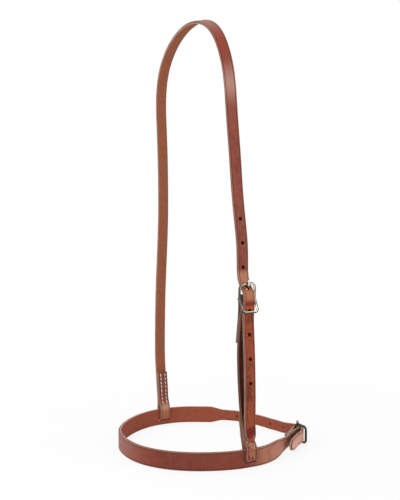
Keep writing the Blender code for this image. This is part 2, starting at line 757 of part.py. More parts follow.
def main():
    clear_scene()
    band, plan = make_band(Paint("noseband_leather", LEATHER_GRAIN, 0.45, 0.0))
    rock = axis_empty("hanger_axis", Vector((HANGER_X, 0, ROCK_HEIGHT)))
    pivot = rock.matrix_world.translation.copy()
    crown_line, cheek_line = crown_route(), cheek_route()
    paint = Paint("crown_leather", CROWN_GRAIN, 0.42, 0.0)
    crown = make_hanger_strap("crown_strap", paint, rock, crown_line, TIP_LENGTH)
    seat = crown_seat()
    punch(crown, hole_cuts(
        hanger_frame, crown_line, seat.crossing(), CROWN_HOLE_PITCH, CROWN_HOLES_ABOVE, CROWN_HOLES_BELOW,
        CROWN_HOLE_SET_BACK))
    paint = Paint("cheek_leather", LEATHER_GRAIN, 0.48, 0.0)
    cheek = make_hanger_strap("cheek_strap", paint, rock, cheek_line, 0.0)
    tongue_slot(cheek, crown_bar_place(), Vector((1, 0, 0)))

    crown_bar = axis_empty("crown_bar_axis", crown_bar_place(), rock)
    make_buckle_frame("crown_buckle_frame", Paint("crown_frame_nickel", NICKEL, 0.26, 1.0), crown_bar)
    make_tongue("crown_buckle_tongue", Paint("crown_tongue_nickel", NICKEL, 0.30, 1.0), crown_bar)
    chin_bar = axis_empty("chin_bar_axis", chin_bar_place())
    c, d = math.cos(CHIN_HEADING), math.sin(CHIN_HEADING)
    chin_bar.rotation_euler = Matrix(((0, -d, c), (0, c, d), (-1, 0, 0))).to_euler()
    make_buckle_frame("chin_buckle_frame", Paint("chin_frame_nickel", DARK_NICKEL, 0.30, 1.0), chin_bar)
    make_tongue("chin_buckle_tongue", Paint("chin_tongue_nickel", DARK_NICKEL, 0.32, 1.0), chin_bar)

    far_fold = (LOOP_CENTRE_Y + LOOP_RADIUS, TURN_HEIGHT - TURN_RADIUS)
    near_fold = (LOOP_CENTRE_Y - LOOP_RADIUS, TURN_HEIGHT - TURN_RADIUS)
    near_start = cheek_line.length - STITCH_START - NEAR_LOOP_STITCHES * STITCH_PITCH
    seams = (
        ("far_loop_thread", Seam(hanger_frame, crown_line, STITCH_START, FAR_LOOP_STITCHES, far_fold), crown),
        ("near_loop_thread", Seam(hanger_frame, cheek_line, near_start, NEAR_LOOP_STITCHES, near_fold), cheek),
        ("crown_chape_thread", Seam(
            hanger_frame, cheek_line, 2 * STITCH_START, CHAPE_STITCHES, seat.at(FOLD_RADIUS, 0)), cheek),
    )
    for name, seam, strap in seams:
        paint = Paint(name, THREAD, 0.8, 0.0)
        make_seam((name + "_front", name + "_rear"), paint, seam, strap, pivot, rock)
    fold = chin_seat().at(FOLD_RADIUS, 0)
    seam = Seam(plan_frame, plan, 2 * STITCH_START, CHAPE_STITCHES, fold)
    names = ("chin_chape_thread_lower", "chin_chape_thread_upper")
    make_seam(names, Paint("chin_chape_thread", THREAD, 0.8, 0.0), seam, band, Vector(), None)
    print("built", len(bpy.data.objects), "objects")


main()
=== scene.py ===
"""Bridle noseband: its leather, sewing and buckles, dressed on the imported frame.

Metres, +Z up. +X points to the chin, +Y to the far side. Each strap is swept along the frame's own
line with rounded, burnished edges, and carries its own measures for the leather to be painted by.
"""

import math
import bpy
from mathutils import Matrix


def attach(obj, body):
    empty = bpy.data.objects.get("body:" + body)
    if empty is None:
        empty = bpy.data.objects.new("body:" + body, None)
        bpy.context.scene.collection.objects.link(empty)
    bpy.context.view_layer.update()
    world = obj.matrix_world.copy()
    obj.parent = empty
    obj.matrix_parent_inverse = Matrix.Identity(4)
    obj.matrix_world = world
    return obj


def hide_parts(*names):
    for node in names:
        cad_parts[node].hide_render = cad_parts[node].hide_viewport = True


bl_info = {
    "name": "Bridle noseband",
    "version": (1, 0, 0),
    "blender": (4, 5, 0),
    "location": "View3D > Sidebar > Noseband",
    "description": "Builds the leather, stitches and buckles of a bridle noseband",
    "category": "Object",
}

import bmesh
import bpy
import numpy as np
from bpy.props import FloatProperty, FloatVectorProperty, IntProperty, PointerProperty
from mathutils import Matrix, Vector

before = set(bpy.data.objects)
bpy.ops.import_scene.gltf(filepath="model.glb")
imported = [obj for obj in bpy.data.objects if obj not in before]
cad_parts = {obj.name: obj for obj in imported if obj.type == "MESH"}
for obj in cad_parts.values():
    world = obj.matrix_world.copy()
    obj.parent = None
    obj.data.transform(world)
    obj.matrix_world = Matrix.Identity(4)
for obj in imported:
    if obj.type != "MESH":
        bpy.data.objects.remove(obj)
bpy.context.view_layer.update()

# Leather and fits
LEATHER = 0.0032
BAND_WIDTH = 0.0196
STRAP_WIDTH = 0.0127
FIT_GAP = 0.0003
PIVOT_GAP = 0.0004
SLIP_GAP = 0.0007
CUT_OVERRUN = 0.002

# Overall shape
LOOP_RADIUS = 0.100
LOOP_CENTRE_X = -0.0061
LOOP_CENTRE_Y = -0.0040
HANGER_X = LOOP_CENTRE_X - 0.0016
CROWN_HEIGHT = 0.478
NEAR_TAPER_START = 0.037
NEAR_TAPER_LENGTH = 0.036
FAR_TAPER_START = 0.057
FAR_TAPER_LENGTH = 0.019

# Slits and sewn loops
SLIT_LENGTH = 0.0142
SLIT_HEIGHT = 0.0062
SLIT_BELOW = 0.0052
SLIT_CORNER = 0.0012
FAR_LOOP_END = 0.064
NEAR_LOOP_END = 0.050
LOOP_FOOT_RISE = 0.0111
STITCH_PITCH = 0.0048
STITCH_ARCH = 0.0002
STITCH_MARGIN = 0.0035
STITCH_START = 0.0014
THREAD_RADIUS = 0.0004
FAR_LOOP_STITCHES = 8
NEAR_LOOP_STITCHES = 5
CHAPE_STITCHES = 5

# Buckles
BAR_RADIUS = 0.00135
BAR_SPACING = 0.0150
BUCKLE_INSIDE = 0.0158
BUCKLE_DISH = 0.0068
BAR_SET_BACK = 0.0030
BAR_CRANK = 0.0016
BUCKLE_BEND = 1.5
BUCKLE_TILT = math.radians(12.5)
TONGUE_CORNER = 0.0050
HEEL_CORNER = 0.0038
TONGUE_RADIUS = 0.0010
TONGUE_OVERHANG = 0.0030
TONGUE_SLOT_SIDE = 0.0006
SLOT_SEGMENTS = 64
CHAPE_CLOSING = 0.0165
CROWN_CHAPE = 0.048
CHIN_CHAPE = 0.034

# Billets
HOLE_DIAMETER = 0.0034
HOLE_FACE_SHARE = 1.22
HOLE_WAIST_SHARE = 0.02
HOLE_BACK_SHARE = 0.85
CROWN_HOLE_PITCH = 0.0254
CHIN_HOLE_PITCH = 0.0245
TONGUE_HOLE_LENGTH = 0.0066
TONGUE_LEAD = 0.0027
CROWN_HOLE_SET_BACK = 0.0025
CROWN_HOLES_ABOVE = 3
CROWN_HOLES_BELOW = 4
CHIN_HOLES = 4
TIP_LENGTH = 0.010
TIP_WIDTH = 0.0030
CROWN_TIP_HEIGHT = 0.028
CHIN_TAIL = 0.046

# How finely the straps, the cuts and the wire are made
STRAP_STEP = 0.0032
STRAP_BEND = math.radians(5)
WIRE_STEP = 0.0009
WIRE_BEND = math.radians(9)
TIP_STEP_SHARES = (0.02, 0.07, 0.15, 0.26, 0.4, 0.56, 0.74, 1.0)
OUTLINE_STEPS = 6
RIM_CORNER_STEPS = 9
RIM_END_STEPS = 5
WELD_GAP = 0.000002
SHARP_EDGE = math.radians(38)

# Places that the sizes above decide
LAYERS = LEATHER + FIT_GAP
TURN_RADIUS = LEATHER + SLIP_GAP
BAND_MIDDLE = BAND_WIDTH / 2
TURN_HEIGHT = SLIT_BELOW + SLIT_HEIGHT
ROCK_HEIGHT = SLIT_BELOW + SLIT_HEIGHT / 2
LOOP_FOOT = BAND_WIDTH + LOOP_FOOT_RISE
FOLD_RADIUS = BAR_RADIUS + PIVOT_GAP + LEATHER / 2
CREST = FOLD_RADIUS + LAYERS
BAR_HALF_LENGTH = BUCKLE_INSIDE / 2 + BAR_RADIUS
OVER_THREAD = LAYERS + 2 * THREAD_RADIUS + STITCH_ARCH + 2 * FIT_GAP
STITCH_ROW = STRAP_WIDTH / 2 - STITCH_MARGIN

# Lines of the straps and the wire, in shares of the sizes that they follow
CHIN_BAR_SHARES = (0.972, -0.433)
CHIN_HEADING = math.radians(61.5)
CHAPE_HEADING = math.radians(39.0)
CROWN_BAR_SHARES = (-0.913, 0.3431)
CROWN_CHAPE_LEAN = math.radians(8.0)
BAND_PLAN_SHARES = (
    (0.520, -0.805), (0.385, -0.893), (0.245, -0.960), (0.115, -0.995), (0.000, -1.000),
    (-0.115, -0.998), (-0.300, -0.962), (-0.520, -0.872), (-0.720, -0.732), (-0.870, -0.548),
    (-0.962, -0.330), (-0.988, -0.100), (-0.966, 0.130), (-0.900, 0.345), (-0.790, 0.530),
    (-0.650, 0.692), (-0.480, 0.835), (-0.295, 0.940), (-0.115, 0.994), (0.000, 1.000),
    (0.115, 0.996), (0.280, 0.950), (0.445, 0.860), (0.615, 0.735), (0.775, 0.575),
    (0.915, 0.370), (0.995, 0.135), (1.022, -0.090),
)
LARGEST_SAG = 0.0024
NEAR_END_SAG_SHARES = (-0.35, -0.15)
BILLET_SAG_SHARES = (-0.1, -0.1, 0.45, 1.0, 0.8)
BUCKLE_SAG_SHARE = -0.4
CROWN_ARCH_SHARES = (
    (1.078, 0.0949), (1.098, 0.1397), (1.098, 0.2179), (1.083, 0.3014), (1.043, 0.4056),
    (1.003, 0.5203), (1.003, 0.6246), (1.028, 0.7341), (1.048, 0.8279), (0.978, 0.8957),
    (0.768, 0.9531), (0.45, 0.9906), (0.09, 1), (-0.23, 0.975), (-0.46, 0.9145),
    (-0.562, 0.8561), (-0.622, 0.7706), (-0.684, 0.6767), (-0.765, 0.5516), (-0.846, 0.4369),
)
LARGEST_TWIST = math.radians(19)
CROWN_TWIST_SHARES = (0, 0, 0, 0, 0, 0, 0, 0, 0, 0, 0.1, 0.3, 0.6, 0.9, 1, 1, 0.9, 0.75, 0.45, 0.2)
FAR_RISE_SHARES = ((1.036, 0.42), (1.045, 0.58), (1.059, 0.76))
NEAR_FALL_SHARES = (
    (-0.858, 0.2023), (-0.869, 0.1606), (-0.893, 0.1095), (-0.928, 0.0657), (-0.958, 0.0365),
    (-0.978, 0.0209),
)
TURNED_UP_SHARES = ((1.00, 0), (0.60, 0), (0.28, 0), (0.00, 0.06))
TAIL_SHARES = (
    (-0.973, 0.2701), (-0.99, 0.2179), (-1.002, 0.1554), (-1.006, 0.0928), (-1.005, 0.0532),
)
OVER_BAR_SHARES = (
    (0.98, -0.27), (0.78, 0.12), (0.57, 0.58), (0.33, 0.94), (0.0, 1.03), (-0.36, 1.0), (-0.87, 0.84),
)
CROSSING_SHARES = OVER_BAR_SHARES[1]
SHANK_SHARES = ((0.30, -0.97), (0.62, -0.45))
EYE_START, EYE_END, RIM_MEETING = 12, 270, 152
CHAPE_CLOSING_SHARES = ((1.0, 0.0), (0.6, 0.28), (0.3, 0.80))
TAIL_SPACING_SHARES = (0.35, 0.7, 1.0)
RIM_SIDE_SHARES = np.linspace(0.6, -0.62, 13)
BAR_SLIM_SHARE = 0.99
STRAIGHT_SHARE = 1.0
# Each step of a wire's rounded end: its way in, and its size
WIRE_END_SHARES = ((0.0, 0.35), (0.13, 0.66), (0.4, 0.9))
WIRE_END_REACH_SHARE = 0.75
# Each point of a stitch: its way along, its height in thread radii, its slant and its size
STITCH_SHARES = (
    (-1.02, -0.9, -1, 0.9), (-0.92, 0.15, -0.9, 1.1), (-0.6, 0.85, -0.6, 1.2), (0, 1.15, 0, 1.25),
    (0.6, 0.85, 0.6, 1.2), (0.92, 0.15, 0.9, 1.1), (1.02, -0.9, 1, 0.9),
)
STITCH_SLANT_SHARE = 0.45

# How much painted shade the walls of each kind of cut get
CROWN_HOLE_SHADE = 1.0
CHIN_HOLE_SHADE = 0.5
SLIT_SHADE = 0.3
SLOT_SHADE = 0.6

# Leather: depths under a face and insets from an edge at which it changes, and how far it stands out
GRAIN_DEPTHS = (0.0006, 0.00012)
FLESH_DEPTHS = (0.0003, 0.00008)
DYED_DEPTHS = (-0.0005, 0.0003)
# Insets within which the grain side's rounded edge gets a painted highlight
EDGE_HIGHLIGHT_INSETS = (0.0003, 0.0012)
CREASE_INSETS = (0.0007, 0.0011)
CREASE_INNER_INSETS = (0.0015, 0.0024)
GRAIN_RELIEFS = (("Pores", 0.000035), ("Streak", 0.00006), ("Wrinkle", 0.00009))
FIBRE_RELIEF = 0.00022
CREASE_RELIEF = 0.00012
SEAM_REACH = (0.0003, 0.0010)
SEAM_SOFTNESS = 0.0008
SEAM_RELIEF = 0.00022
MARK_REACH = 0.0006
MARK_SOFTNESS = 0.0005
DENT_REACH = 0.0005
DENT_SOFTNESS = 0.0006
DENT_RELIEF = 0.00016
# Colour of the painted shade laid where a strap lies in shadow
PAINTED_SHADE_COLOUR = (0.028, 0.010, 0.006)
# Colour of the painted shade on the walls of holes, slits and slots
CUT_SHADE_COLOUR = (0.036, 0.006, 0.003)

# Thread and plating
PLY_RELIEF = 0.00008
SCRATCH_RELIEF = 0.000004
PLATING_ROUGHNESS = 0.2

# Stage: each lamp's place, target, size and power
FLOOR_REACH = 12
FLOOR_DROP = 0.0004
WHITE = (1, 1, 1, 1)
LAMPS = {
    "key_left": ((-1.5, -0.7, 1.0), (0, 0, 0.15), (1.0, 1.4), 15.5),
    "fill_right": ((1.3, -1.5, 0.8), (0, 0, 0.2), (0.9, 1.4), 9),
    "top_soft": ((0.0, 0.2, 2.0), (0, 0, 0.2), (1.6, 1.6), 11),
    "back_soft": ((-0.2, 1.6, 1.0), (0, 0, 0.2), (1.4, 1.0), 5.5),
}
CAMERA_PLACE = (-0.5024, -0.8894, 0.2900)
CAMERA_TURN = (math.radians(90 - 3.81), 0, math.radians(-29))
CAMERA_NEAR = 0.02


# Settings that a user would change

def tint(name, description, default):
    return FloatVectorProperty(
        name=name, description=description, subtype="COLOR", size=3, default=default, min=0, max=1)


class NosebandLeather(bpy.types.PropertyGroup):
    """The colours and finish of the straps."""

    grain: tint("Grain side", "Colour of the smooth outer side", (0.262, 0.064, 0.038))
    grain_dark: tint("Grain side, dark", "Colour where the oil has soaked in", (0.125, 0.024, 0.014))
    tail: tint("Crown billet", "Colour of the lighter billet of the crown strap", (0.320, 0.066, 0.024))
    flesh: tint("Flesh side", "Colour of the matt inner side", (0.30, 0.098, 0.050))
    edge: tint("Cut edge", "Colour of the pale burnished edges", (0.50, 0.30, 0.225))
    edge_round: FloatProperty(
        name="Edge rounding", description="Radius of the grain side's edges", unit="LENGTH",
        default=0.0008, min=0.0002, max=0.0014)
    roughness: FloatProperty(
        name="Grain roughness", description="Roughness of the smooth side", subtype="FACTOR",
        default=0.40, min=0, max=1)


class NosebandSewing(bpy.types.PropertyGroup):
    """The thread of the sewn loops and chapes."""

    colour: tint("Thread", "Colour of the waxed thread", (0.94, 0.88, 0.82))
    # Darker thread of the chapes beside the buckles: painted shade on the stitches
    shade_thread: tint("Thread in painted shade", "Colour of the thread beside the buckles", (0.16, 0.09, 0.06))
    stitch: FloatProperty(
        name="Stitch length", description="Length of a stitch between two holes", unit="LENGTH",
        default=0.0031, min=0.002, max=0.0045)
    sides: IntProperty(name="Sides", description="Sides of a stitch", default=8, min=6, max=16)


class NosebandMetal(bpy.types.PropertyGroup):
    """The plating of the two buckles."""

    crown: tint("Crown buckle", "Colour of its nickel plating", (0.74, 0.68, 0.61))
    chin: tint("Chin buckle", "Colour of its darker plating", (0.34, 0.31, 0.26))
    sides: IntProperty(name="Sides", description="Sides of the wire", default=20, min=8, max=32)


class NosebandStage(bpy.types.PropertyGroup):
    """The floor, the lights and the camera."""

    floor: tint("Floor", "Colour of the floor", (0.95, 0.95, 0.95))
    world_level: FloatProperty(
        name="Room light", description="Level of the light from all around", default=0.44, min=0, max=2)
    lens: FloatProperty(
        name="Lens", description="Focal length of the camera", default=64.8, min=20, max=200, unit="CAMERA")


# Lines that the straps follow

class Route:
    """A smooth line through points in a plane, measured by its length, with a value at each point."""

    DENSE = 40

    def __init__(self, points, values=None):
        knots = np.array(points, float)
        chord = np.linalg.norm(np.diff(knots, axis=0), axis=1)
        rows = len(knots)
        system = np.eye(rows)
        right = np.zeros_like(knots)
        for i in range(1, rows - 1):
            before, after = chord[i - 1], chord[i]
            system[i, i - 1:i + 2] = (before, 2 * (before + after), after)
            right[i] = 6 * ((knots[i + 1] - knots[i]) / after - (knots[i] - knots[i - 1]) / before)
        bend = np.linalg.solve(system, right)
        dense = [knots[0]]
        for i, span in enumerate(chord):
            for u in np.linspace(0, 1, self.DENSE + 1)[1:]:
                a, b = 1 - u, u
                pull = (a**3 - a) * bend[i] + (b**3 - b) * bend[i + 1]
                dense.append(a * knots[i] + b * knots[i + 1] + pull * span**2 / 6)
        self.points = np.array(dense)
        step = np.linalg.norm(np.diff(self.points, axis=0), axis=1)
        self.distance = np.concatenate(([0], np.cumsum(step)))
        self.length = self.distance[-1]
        self.values = np.zeros(rows) if values is None else np.array(values, float)

    def point(self, s):
        return np.array([np.interp(s, self.distance, self.points[:, k]) for k in (0, 1)])

    def value(self, s):
        return float(np.interp(s, self.distance[::self.DENSE], self.values))

    def tangent(self, s):
        reach = STRAP_STEP / self.DENSE
        ahead = self.point(min(s + reach, self.length))
        behind = self.point(max(s - reach, 0))
        return (ahead - behind) / np.linalg.norm(ahead - behind)

    def normal(self, s):
        along = self.tangent(s)
        return np.array([-along[1], along[0]])

    def nearest(self, target, start=0.0, end=math.inf):
        inside = (self.distance >= start) & (self.distance <= end)
        gaps = np.linalg.norm(self.points - np.array(target), axis=1)
        gaps[~inside] = np.inf
        return float(self.distance[int(np.argmin(gaps))])

    def stations(self, longest, sharpest, tip=0.0):
        chosen = [0.0]
        heading = self.tangent(0)
        fine = longest / 10
        for s in np.arange(fine, self.length - longest / 4, fine):
            along = self.tangent(s)
            turn = math.acos(min(1, max(-1, float(along @ heading))))
            if s - chosen[-1] >= longest or turn >= sharpest:
                chosen.append(float(s))
                heading = along
        chosen.append(self.length)
        if tip:
            chosen += [self.length - tip * share for share in TIP_STEP_SHARES]
        return sorted(chosen)


def arc(centre, radius, start, end, count):
    angles = np.radians(np.linspace(start, end, count))
    return [(centre[0] + radius * math.cos(a), centre[1] + radius * math.sin(a)) for a in angles]


def plan_frame(route, s):
    """Station of the band, which stands on edge in plan: point, across, through."""
    x, y = route.point(s)
    nx, ny = route.normal(s)
    return Vector((x, y, BAND_MIDDLE - route.value(s))), Vector((0, 0, 1)), Vector((nx, ny, 0))


def hanger_frame(route, s):
    """Station of a strap that hangs across the horse's head, with its twist."""
    y, z = route.point(s)
    ty, tz = route.tangent(s)
    turn = Matrix.Rotation(route.value(s), 3, Vector((0, ty, tz)))
    return Vector((HANGER_X, y, z)), turn @ Vector((1, 0, 0)), turn @ Vector((0, -tz, ty))


class BuckleSeat:
    """Where a buckle stands: turns (along, out) beside its centre bar into the strap's plane."""

    def __init__(self, bar, along, side):
        self.bar = np.array(bar)
        self.along = np.array(along)
        self.out = side * np.array((along[1], -along[0]))

    def at(self, s, n):
        return tuple(self.bar + self.along * s + self.out * n)

    def over_bar(self):
        return [self.at(s * BAR_SPACING, n * CREST) for s, n in OVER_BAR_SHARES]

    def crossing(self):
        return self.at(CROSSING_SHARES[0] * BAR_SPACING, CROSSING_SHARES[1] * CREST)


def crown_seat():
    across, high = CROWN_BAR_SHARES
    return BuckleSeat((LOOP_CENTRE_Y + across * LOOP_RADIUS, above_band(high)), (0.0, 1.0), -1)


def chin_seat():
    forward, across = CHIN_BAR_SHARES
    bar = (LOOP_CENTRE_X + forward * LOOP_RADIUS, LOOP_CENTRE_Y + across * LOOP_RADIUS)
    return BuckleSeat(bar, (math.cos(CHIN_HEADING), math.sin(CHIN_HEADING)), 1)


def chape_points(bar, toward, out, length):
    """A strap's end folded round a centre bar, from its cut end to the outer layer."""
    bar, toward, out = np.array(bar), np.array(toward), np.array(out)
    half = LAYERS / 2
    leaving = [(CHAPE_CLOSING * c, half + (FOLD_RADIUS - half) * m) for c, m in CHAPE_CLOSING_SHARES]
    lay = [(length, half), ((length + CHAPE_CLOSING) / 2, half)] + leaving
    local = [(-c, -m) for c, m in lay]
    local += arc((0, 0), FOLD_RADIUS, -90, 90, 5)
    local += [(-c, m) for c, m in reversed(lay)]
    return [tuple(bar + toward * c + out * m) for c, m in local]


def turned_up(carried, end):
    """The turned-up layer inside a strap that goes down to the band, from its cut end down."""
    line = Route(carried)
    inward = -1 if line.points[0][0] > 0 else 1
    points = []
    for share, apart in TURNED_UP_SHARES:
        height = LOOP_FOOT + (end - LOOP_FOOT) * share
        s = line.distance[int(np.argmin(abs(line.points[:, 1] - height)))]
        normal = line.normal(s)
        if normal[0] * inward < 0:
            normal = -normal
        points.append(tuple(line.point(s) + normal * LAYERS * (1 + apart)))
    return points


def above_band(share):
    return BAND_WIDTH + share * (CROWN_HEIGHT - BAND_WIDTH)


def hanger_points(shares):
    return [(LOOP_CENTRE_Y + a * LOOP_RADIUS, above_band(b)) for a, b in shares]


def turn_in_slit(band, start, end):
    return arc((band, TURN_HEIGHT), TURN_RADIUS, start, end, 5)


def beside_band(band, side):
    face = band + side * TURN_RADIUS
    return [(face, BAND_WIDTH + 2 * SLIP_GAP), (face, TURN_HEIGHT + TURN_RADIUS)]


def crown_route():
    """Centre line of the crown strap: far loop from its cut end, arch, buckle, tail."""
    band = LOOP_CENTRE_Y + LOOP_RADIUS
    seat = crown_seat()
    rise = beside_band(band, 1)[::-1]
    rise += [(LOOP_CENTRE_Y + a * LOOP_RADIUS, b * FAR_LOOP_END) for a, b in FAR_RISE_SHARES]
    arch = hanger_points(CROWN_ARCH_SHARES)
    loop = turned_up(rise + arch, FAR_LOOP_END) + beside_band(band, -1) + turn_in_slit(band, 180, 360) + rise
    fall_end = hanger_points(NEAR_FALL_SHARES)[-1]
    tail = hanger_points(TAIL_SHARES) + [(fall_end[0] - OVER_THREAD, CROWN_TIP_HEIGHT)]
    after = seat.over_bar() + tail
    twist = [0] * len(loop) + [share * LARGEST_TWIST for share in CROWN_TWIST_SHARES] + [0] * len(after)
    return Route(loop + arch + after, twist)


def cheek_route():
    """Centre line of the cheek strap: chape, fall, and the near loop turned up to its cut end."""
    band = LOOP_CENTRE_Y - LOOP_RADIUS
    toward = np.array((-math.sin(CROWN_CHAPE_LEAN), math.cos(CROWN_CHAPE_LEAN)))
    chape = chape_points(crown_seat().bar, toward, (-toward[1], toward[0]), CROWN_CHAPE)
    fall = hanger_points(NEAR_FALL_SHARES) + beside_band(band, -1)
    up = turned_up(chape[-1:] + fall, NEAR_LOOP_END) + beside_band(band, 1)
    return Route(chape + fall + turn_in_slit(band, 180, 360) + up[::-1])


def band_route():
    """Centre line of the noseband in plan, from its folded end to the tip of its billet."""
    seat = chin_seat()
    toward = np.array((math.cos(CHAPE_HEADING), math.sin(CHAPE_HEADING)))
    chape = chape_points(seat.bar, toward, (toward[1], -toward[0]), CHIN_CHAPE)
    centre = np.array((LOOP_CENTRE_X, LOOP_CENTRE_Y))
    loop = [tuple(centre + LOOP_RADIUS * np.array(p)) for p in BAND_PLAN_SHARES]
    over = seat.over_bar()
    tail = [tuple(np.array(over[-1]) - toward * CHIN_TAIL * share) for share in TAIL_SPACING_SHARES]
    flat = [0] * (len(loop) - len(NEAR_END_SAG_SHARES) - len(BILLET_SAG_SHARES))
    sags = [BUCKLE_SAG_SHARE] * len(chape) + [*NEAR_END_SAG_SHARES, *flat, *BILLET_SAG_SHARES]
    sags += [BUCKLE_SAG_SHARE] * len(over)
    sags += [BUCKLE_SAG_SHARE * (1 - share) for share in TAIL_SPACING_SHARES]
    return Route(chape + loop + over + tail, [share * LARGEST_SAG for share in sags])


def tip_width(width, to_end):
    """Width of a strap whose end is cut to a blunt round point."""
    if to_end >= TIP_LENGTH:
        return width
    reach = 1 - to_end / TIP_LENGTH
    return TIP_WIDTH + (width - TIP_WIDTH) * math.sqrt(max(0, 1 - reach**2))


def eased(value, start, length):
    share = min(1, max(0, (value - start) / length))
    return share * share * (3 - 2 * share)


# Straps

def strap_section(width, edge_round):
    """Corners of a strap's section, (across, depth), with the grain side at positive depth."""
    half, thick = width / 2, LEATHER / 2
    grain = min(edge_round, half / 2)
    flesh = min(edge_round / 2, half / 2)
    points = arc((half - grain, thick - grain), grain, 0, 90, 4)
    points += [(half / 2, thick), (0, thick), (-half / 2, thick)]
    points += arc((grain - half, thick - grain), grain, 90, 180, 4)
    points += arc((flesh - half, flesh - thick), flesh, 180, 270, 3)
    points += [(-half / 2, -thick), (0, -thick), (half / 2, -thick)]
    points += arc((half - flesh, flesh - thick), flesh, 270, 360, 3)
    return points


def strap_piece(name, route, frame_at, width_at, grain_side, edge_round, tip=0.0):
    """Sweeps a strap and writes each corner's place on it: along and across, depth and inset."""
    shape = bmesh.new()
    lay = shape.loops.layers.uv.new("Lay")
    deep = shape.loops.layers.uv.new("Deep")
    rings, marks = [], []
    for s in route.stations(STRAP_STEP, STRAP_BEND, tip):
        place, across, through = frame_at(route, s)
        width = width_at(s)
        section = strap_section(width, edge_round)
        rings.append([shape.verts.new(place + across * a + through * t * grain_side) for a, t in section])
        marks.append([(s, a, t, width / 2 - abs(a)) for a, t in section])

    def face(corners):
        made = shape.faces.new([rings[i][k] for i, k in corners])
        for loop, (i, k) in zip(made.loops, corners):
            s, a, t, inset = marks[i][k]
            loop[lay].uv = (s, a)
            loop[deep].uv = (t, inset)

    count = len(rings[0])
    for i in range(len(rings) - 1):
        for k in range(count):
            m = (k + 1) % count
            face([(i, k), (i, m), (i + 1, m), (i + 1, k)])
    face([(0, k) for k in range(count)])
    face([(len(rings) - 1, k) for k in range(count)])
    return closed_piece(name, shape)


def closed_piece(name, shape):
    """A piece with all its faces turned outward."""
    bmesh.ops.recalc_face_normals(shape, faces=shape.faces)
    return new_piece(name, shape)


def new_piece(name, shape):
    mesh = bpy.data.meshes.new(name)
    shape.to_mesh(mesh)
    shape.free()
    made = bpy.data.objects.new(name, mesh)
    bpy.context.scene.collection.objects.link(made)
    return made


def rounded_outline(length, height, corner):
    points = []
    for cx, cy, start in ((1, 1, 0), (-1, 1, 90), (-1, -1, 180), (1, -1, 270)):
        middle = (cx * (length / 2 - corner), cy * (height / 2 - corner))
        points += arc(middle, corner, start, start + 90, OUTLINE_STEPS)
    return points


def cut_through(strap, cuts, grain_side, shade):
    """Cuts outlines through a strap; a punched hole closes up in the middle of the leather."""
    shape = bmesh.new()
    half = LEATHER / 2
    depth = half + CUT_OVERRUN
    for (place, across, through), length, height, corner, waist in cuts:
        along = across.cross(through)
        outline = rounded_outline(length, height, corner)
        rings = []
        for side in (-1, 0, 1):
            face = HOLE_FACE_SHARE if side == grain_side else HOLE_BACK_SHARE
            if waist == STRAIGHT_SHARE:
                face = waist
            size = waist + (face - waist) * depth / half if side else waist
            middle = place + through * side * depth
            rings.append([
                shape.verts.new(middle + along * a * size + across * b * size) for a, b in outline])
        shape.faces.new(rings[0])
        shape.faces.new(rings[-1])
        for low, high in zip(rings, rings[1:]):
            for k in range(len(outline)):
                m = (k + 1) % len(outline)
                shape.faces.new((low[k], low[m], high[m], high[k]))
    bmesh.ops.remove_doubles(shape, verts=shape.verts, dist=WELD_GAP)
    subtract(strap, closed_piece(strap.name + "_cutter", shape), shade)


def tongue_slot(strap, bar, across):
    """Opens the fold round the bar for the tongue; a disc, so that it spares a billet laid over it."""
    width = 2 * (TONGUE_RADIUS + TONGUE_SLOT_SIDE)
    reach = FOLD_RADIUS + LEATHER / 2 + FIT_GAP / 3
    shape = bmesh.new()
    bmesh.ops.create_cone(
        shape, cap_ends=True, segments=SLOT_SEGMENTS, radius1=reach, radius2=reach, depth=width)
    turn = Vector((0, 0, 1)).rotation_difference(across).to_matrix().to_4x4()
    shape.transform(Matrix.Translation(bar) @ turn)
    shape.normal_update()
    subtract(strap, closed_piece(strap.name + "_slot", shape), SLOT_SHADE)


def subtract(piece, cutter, shade):
    """Cuts the piece; the new faces are marked with how much painted shade they get."""
    cut = piece.modifiers.new("Cut", "BOOLEAN")
    cut.operation = "DIFFERENCE"
    cut.solver = "EXACT"
    cut.object = cutter
    cooked = piece.evaluated_get(bpy.context.evaluated_depsgraph_get())
    mesh = bpy.data.meshes.new_from_object(cooked)
    piece.modifiers.clear()
    old = piece.data
    piece.data = mesh
    mesh.name = piece.name
    bpy.data.meshes.remove(old)
    bpy.data.objects.remove(cutter, do_unlink=True)
    deep = mesh.uv_layers["Deep"].uv
    for face in mesh.polygons:
        corners = [deep[i] for i in face.loop_indices]
        if all(corner.vector.length == 0 for corner in corners):
            for corner in corners:
                corner.vector = (0, -shade)


def finish_piece(piece, material, body, nodes):
    piece.data.materials.clear()
    piece.data.materials.append(material)
    piece.data.shade_smooth()
    piece.data.set_sharp_from_angle(angle=SHARP_EDGE)
    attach(piece, body)
    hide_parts(*nodes)


def hole_cuts(frame_at, route, crossing, pitch, before, after, set_back=0.0):
    """The long hole that the tongue is in, with round holes each side of it, and how far along it is."""
    first = route.nearest(crossing, route.length / 2) + TONGUE_LEAD
    corner = HOLE_DIAMETER / 2
    middle = frame_at(route, first - TONGUE_LEAD / 2)
    made = [(middle, TONGUE_HOLE_LENGTH, HOLE_DIAMETER, corner, STRAIGHT_SHARE)]
    for k in range(-before, after + 1):
        if k:
            place = frame_at(route, first + k * pitch - (set_back if k > 0 else 0))
            made.append((place, HOLE_DIAMETER, HOLE_DIAMETER, corner, HOLE_WAIST_SHARE))
    return made, first


# Wire

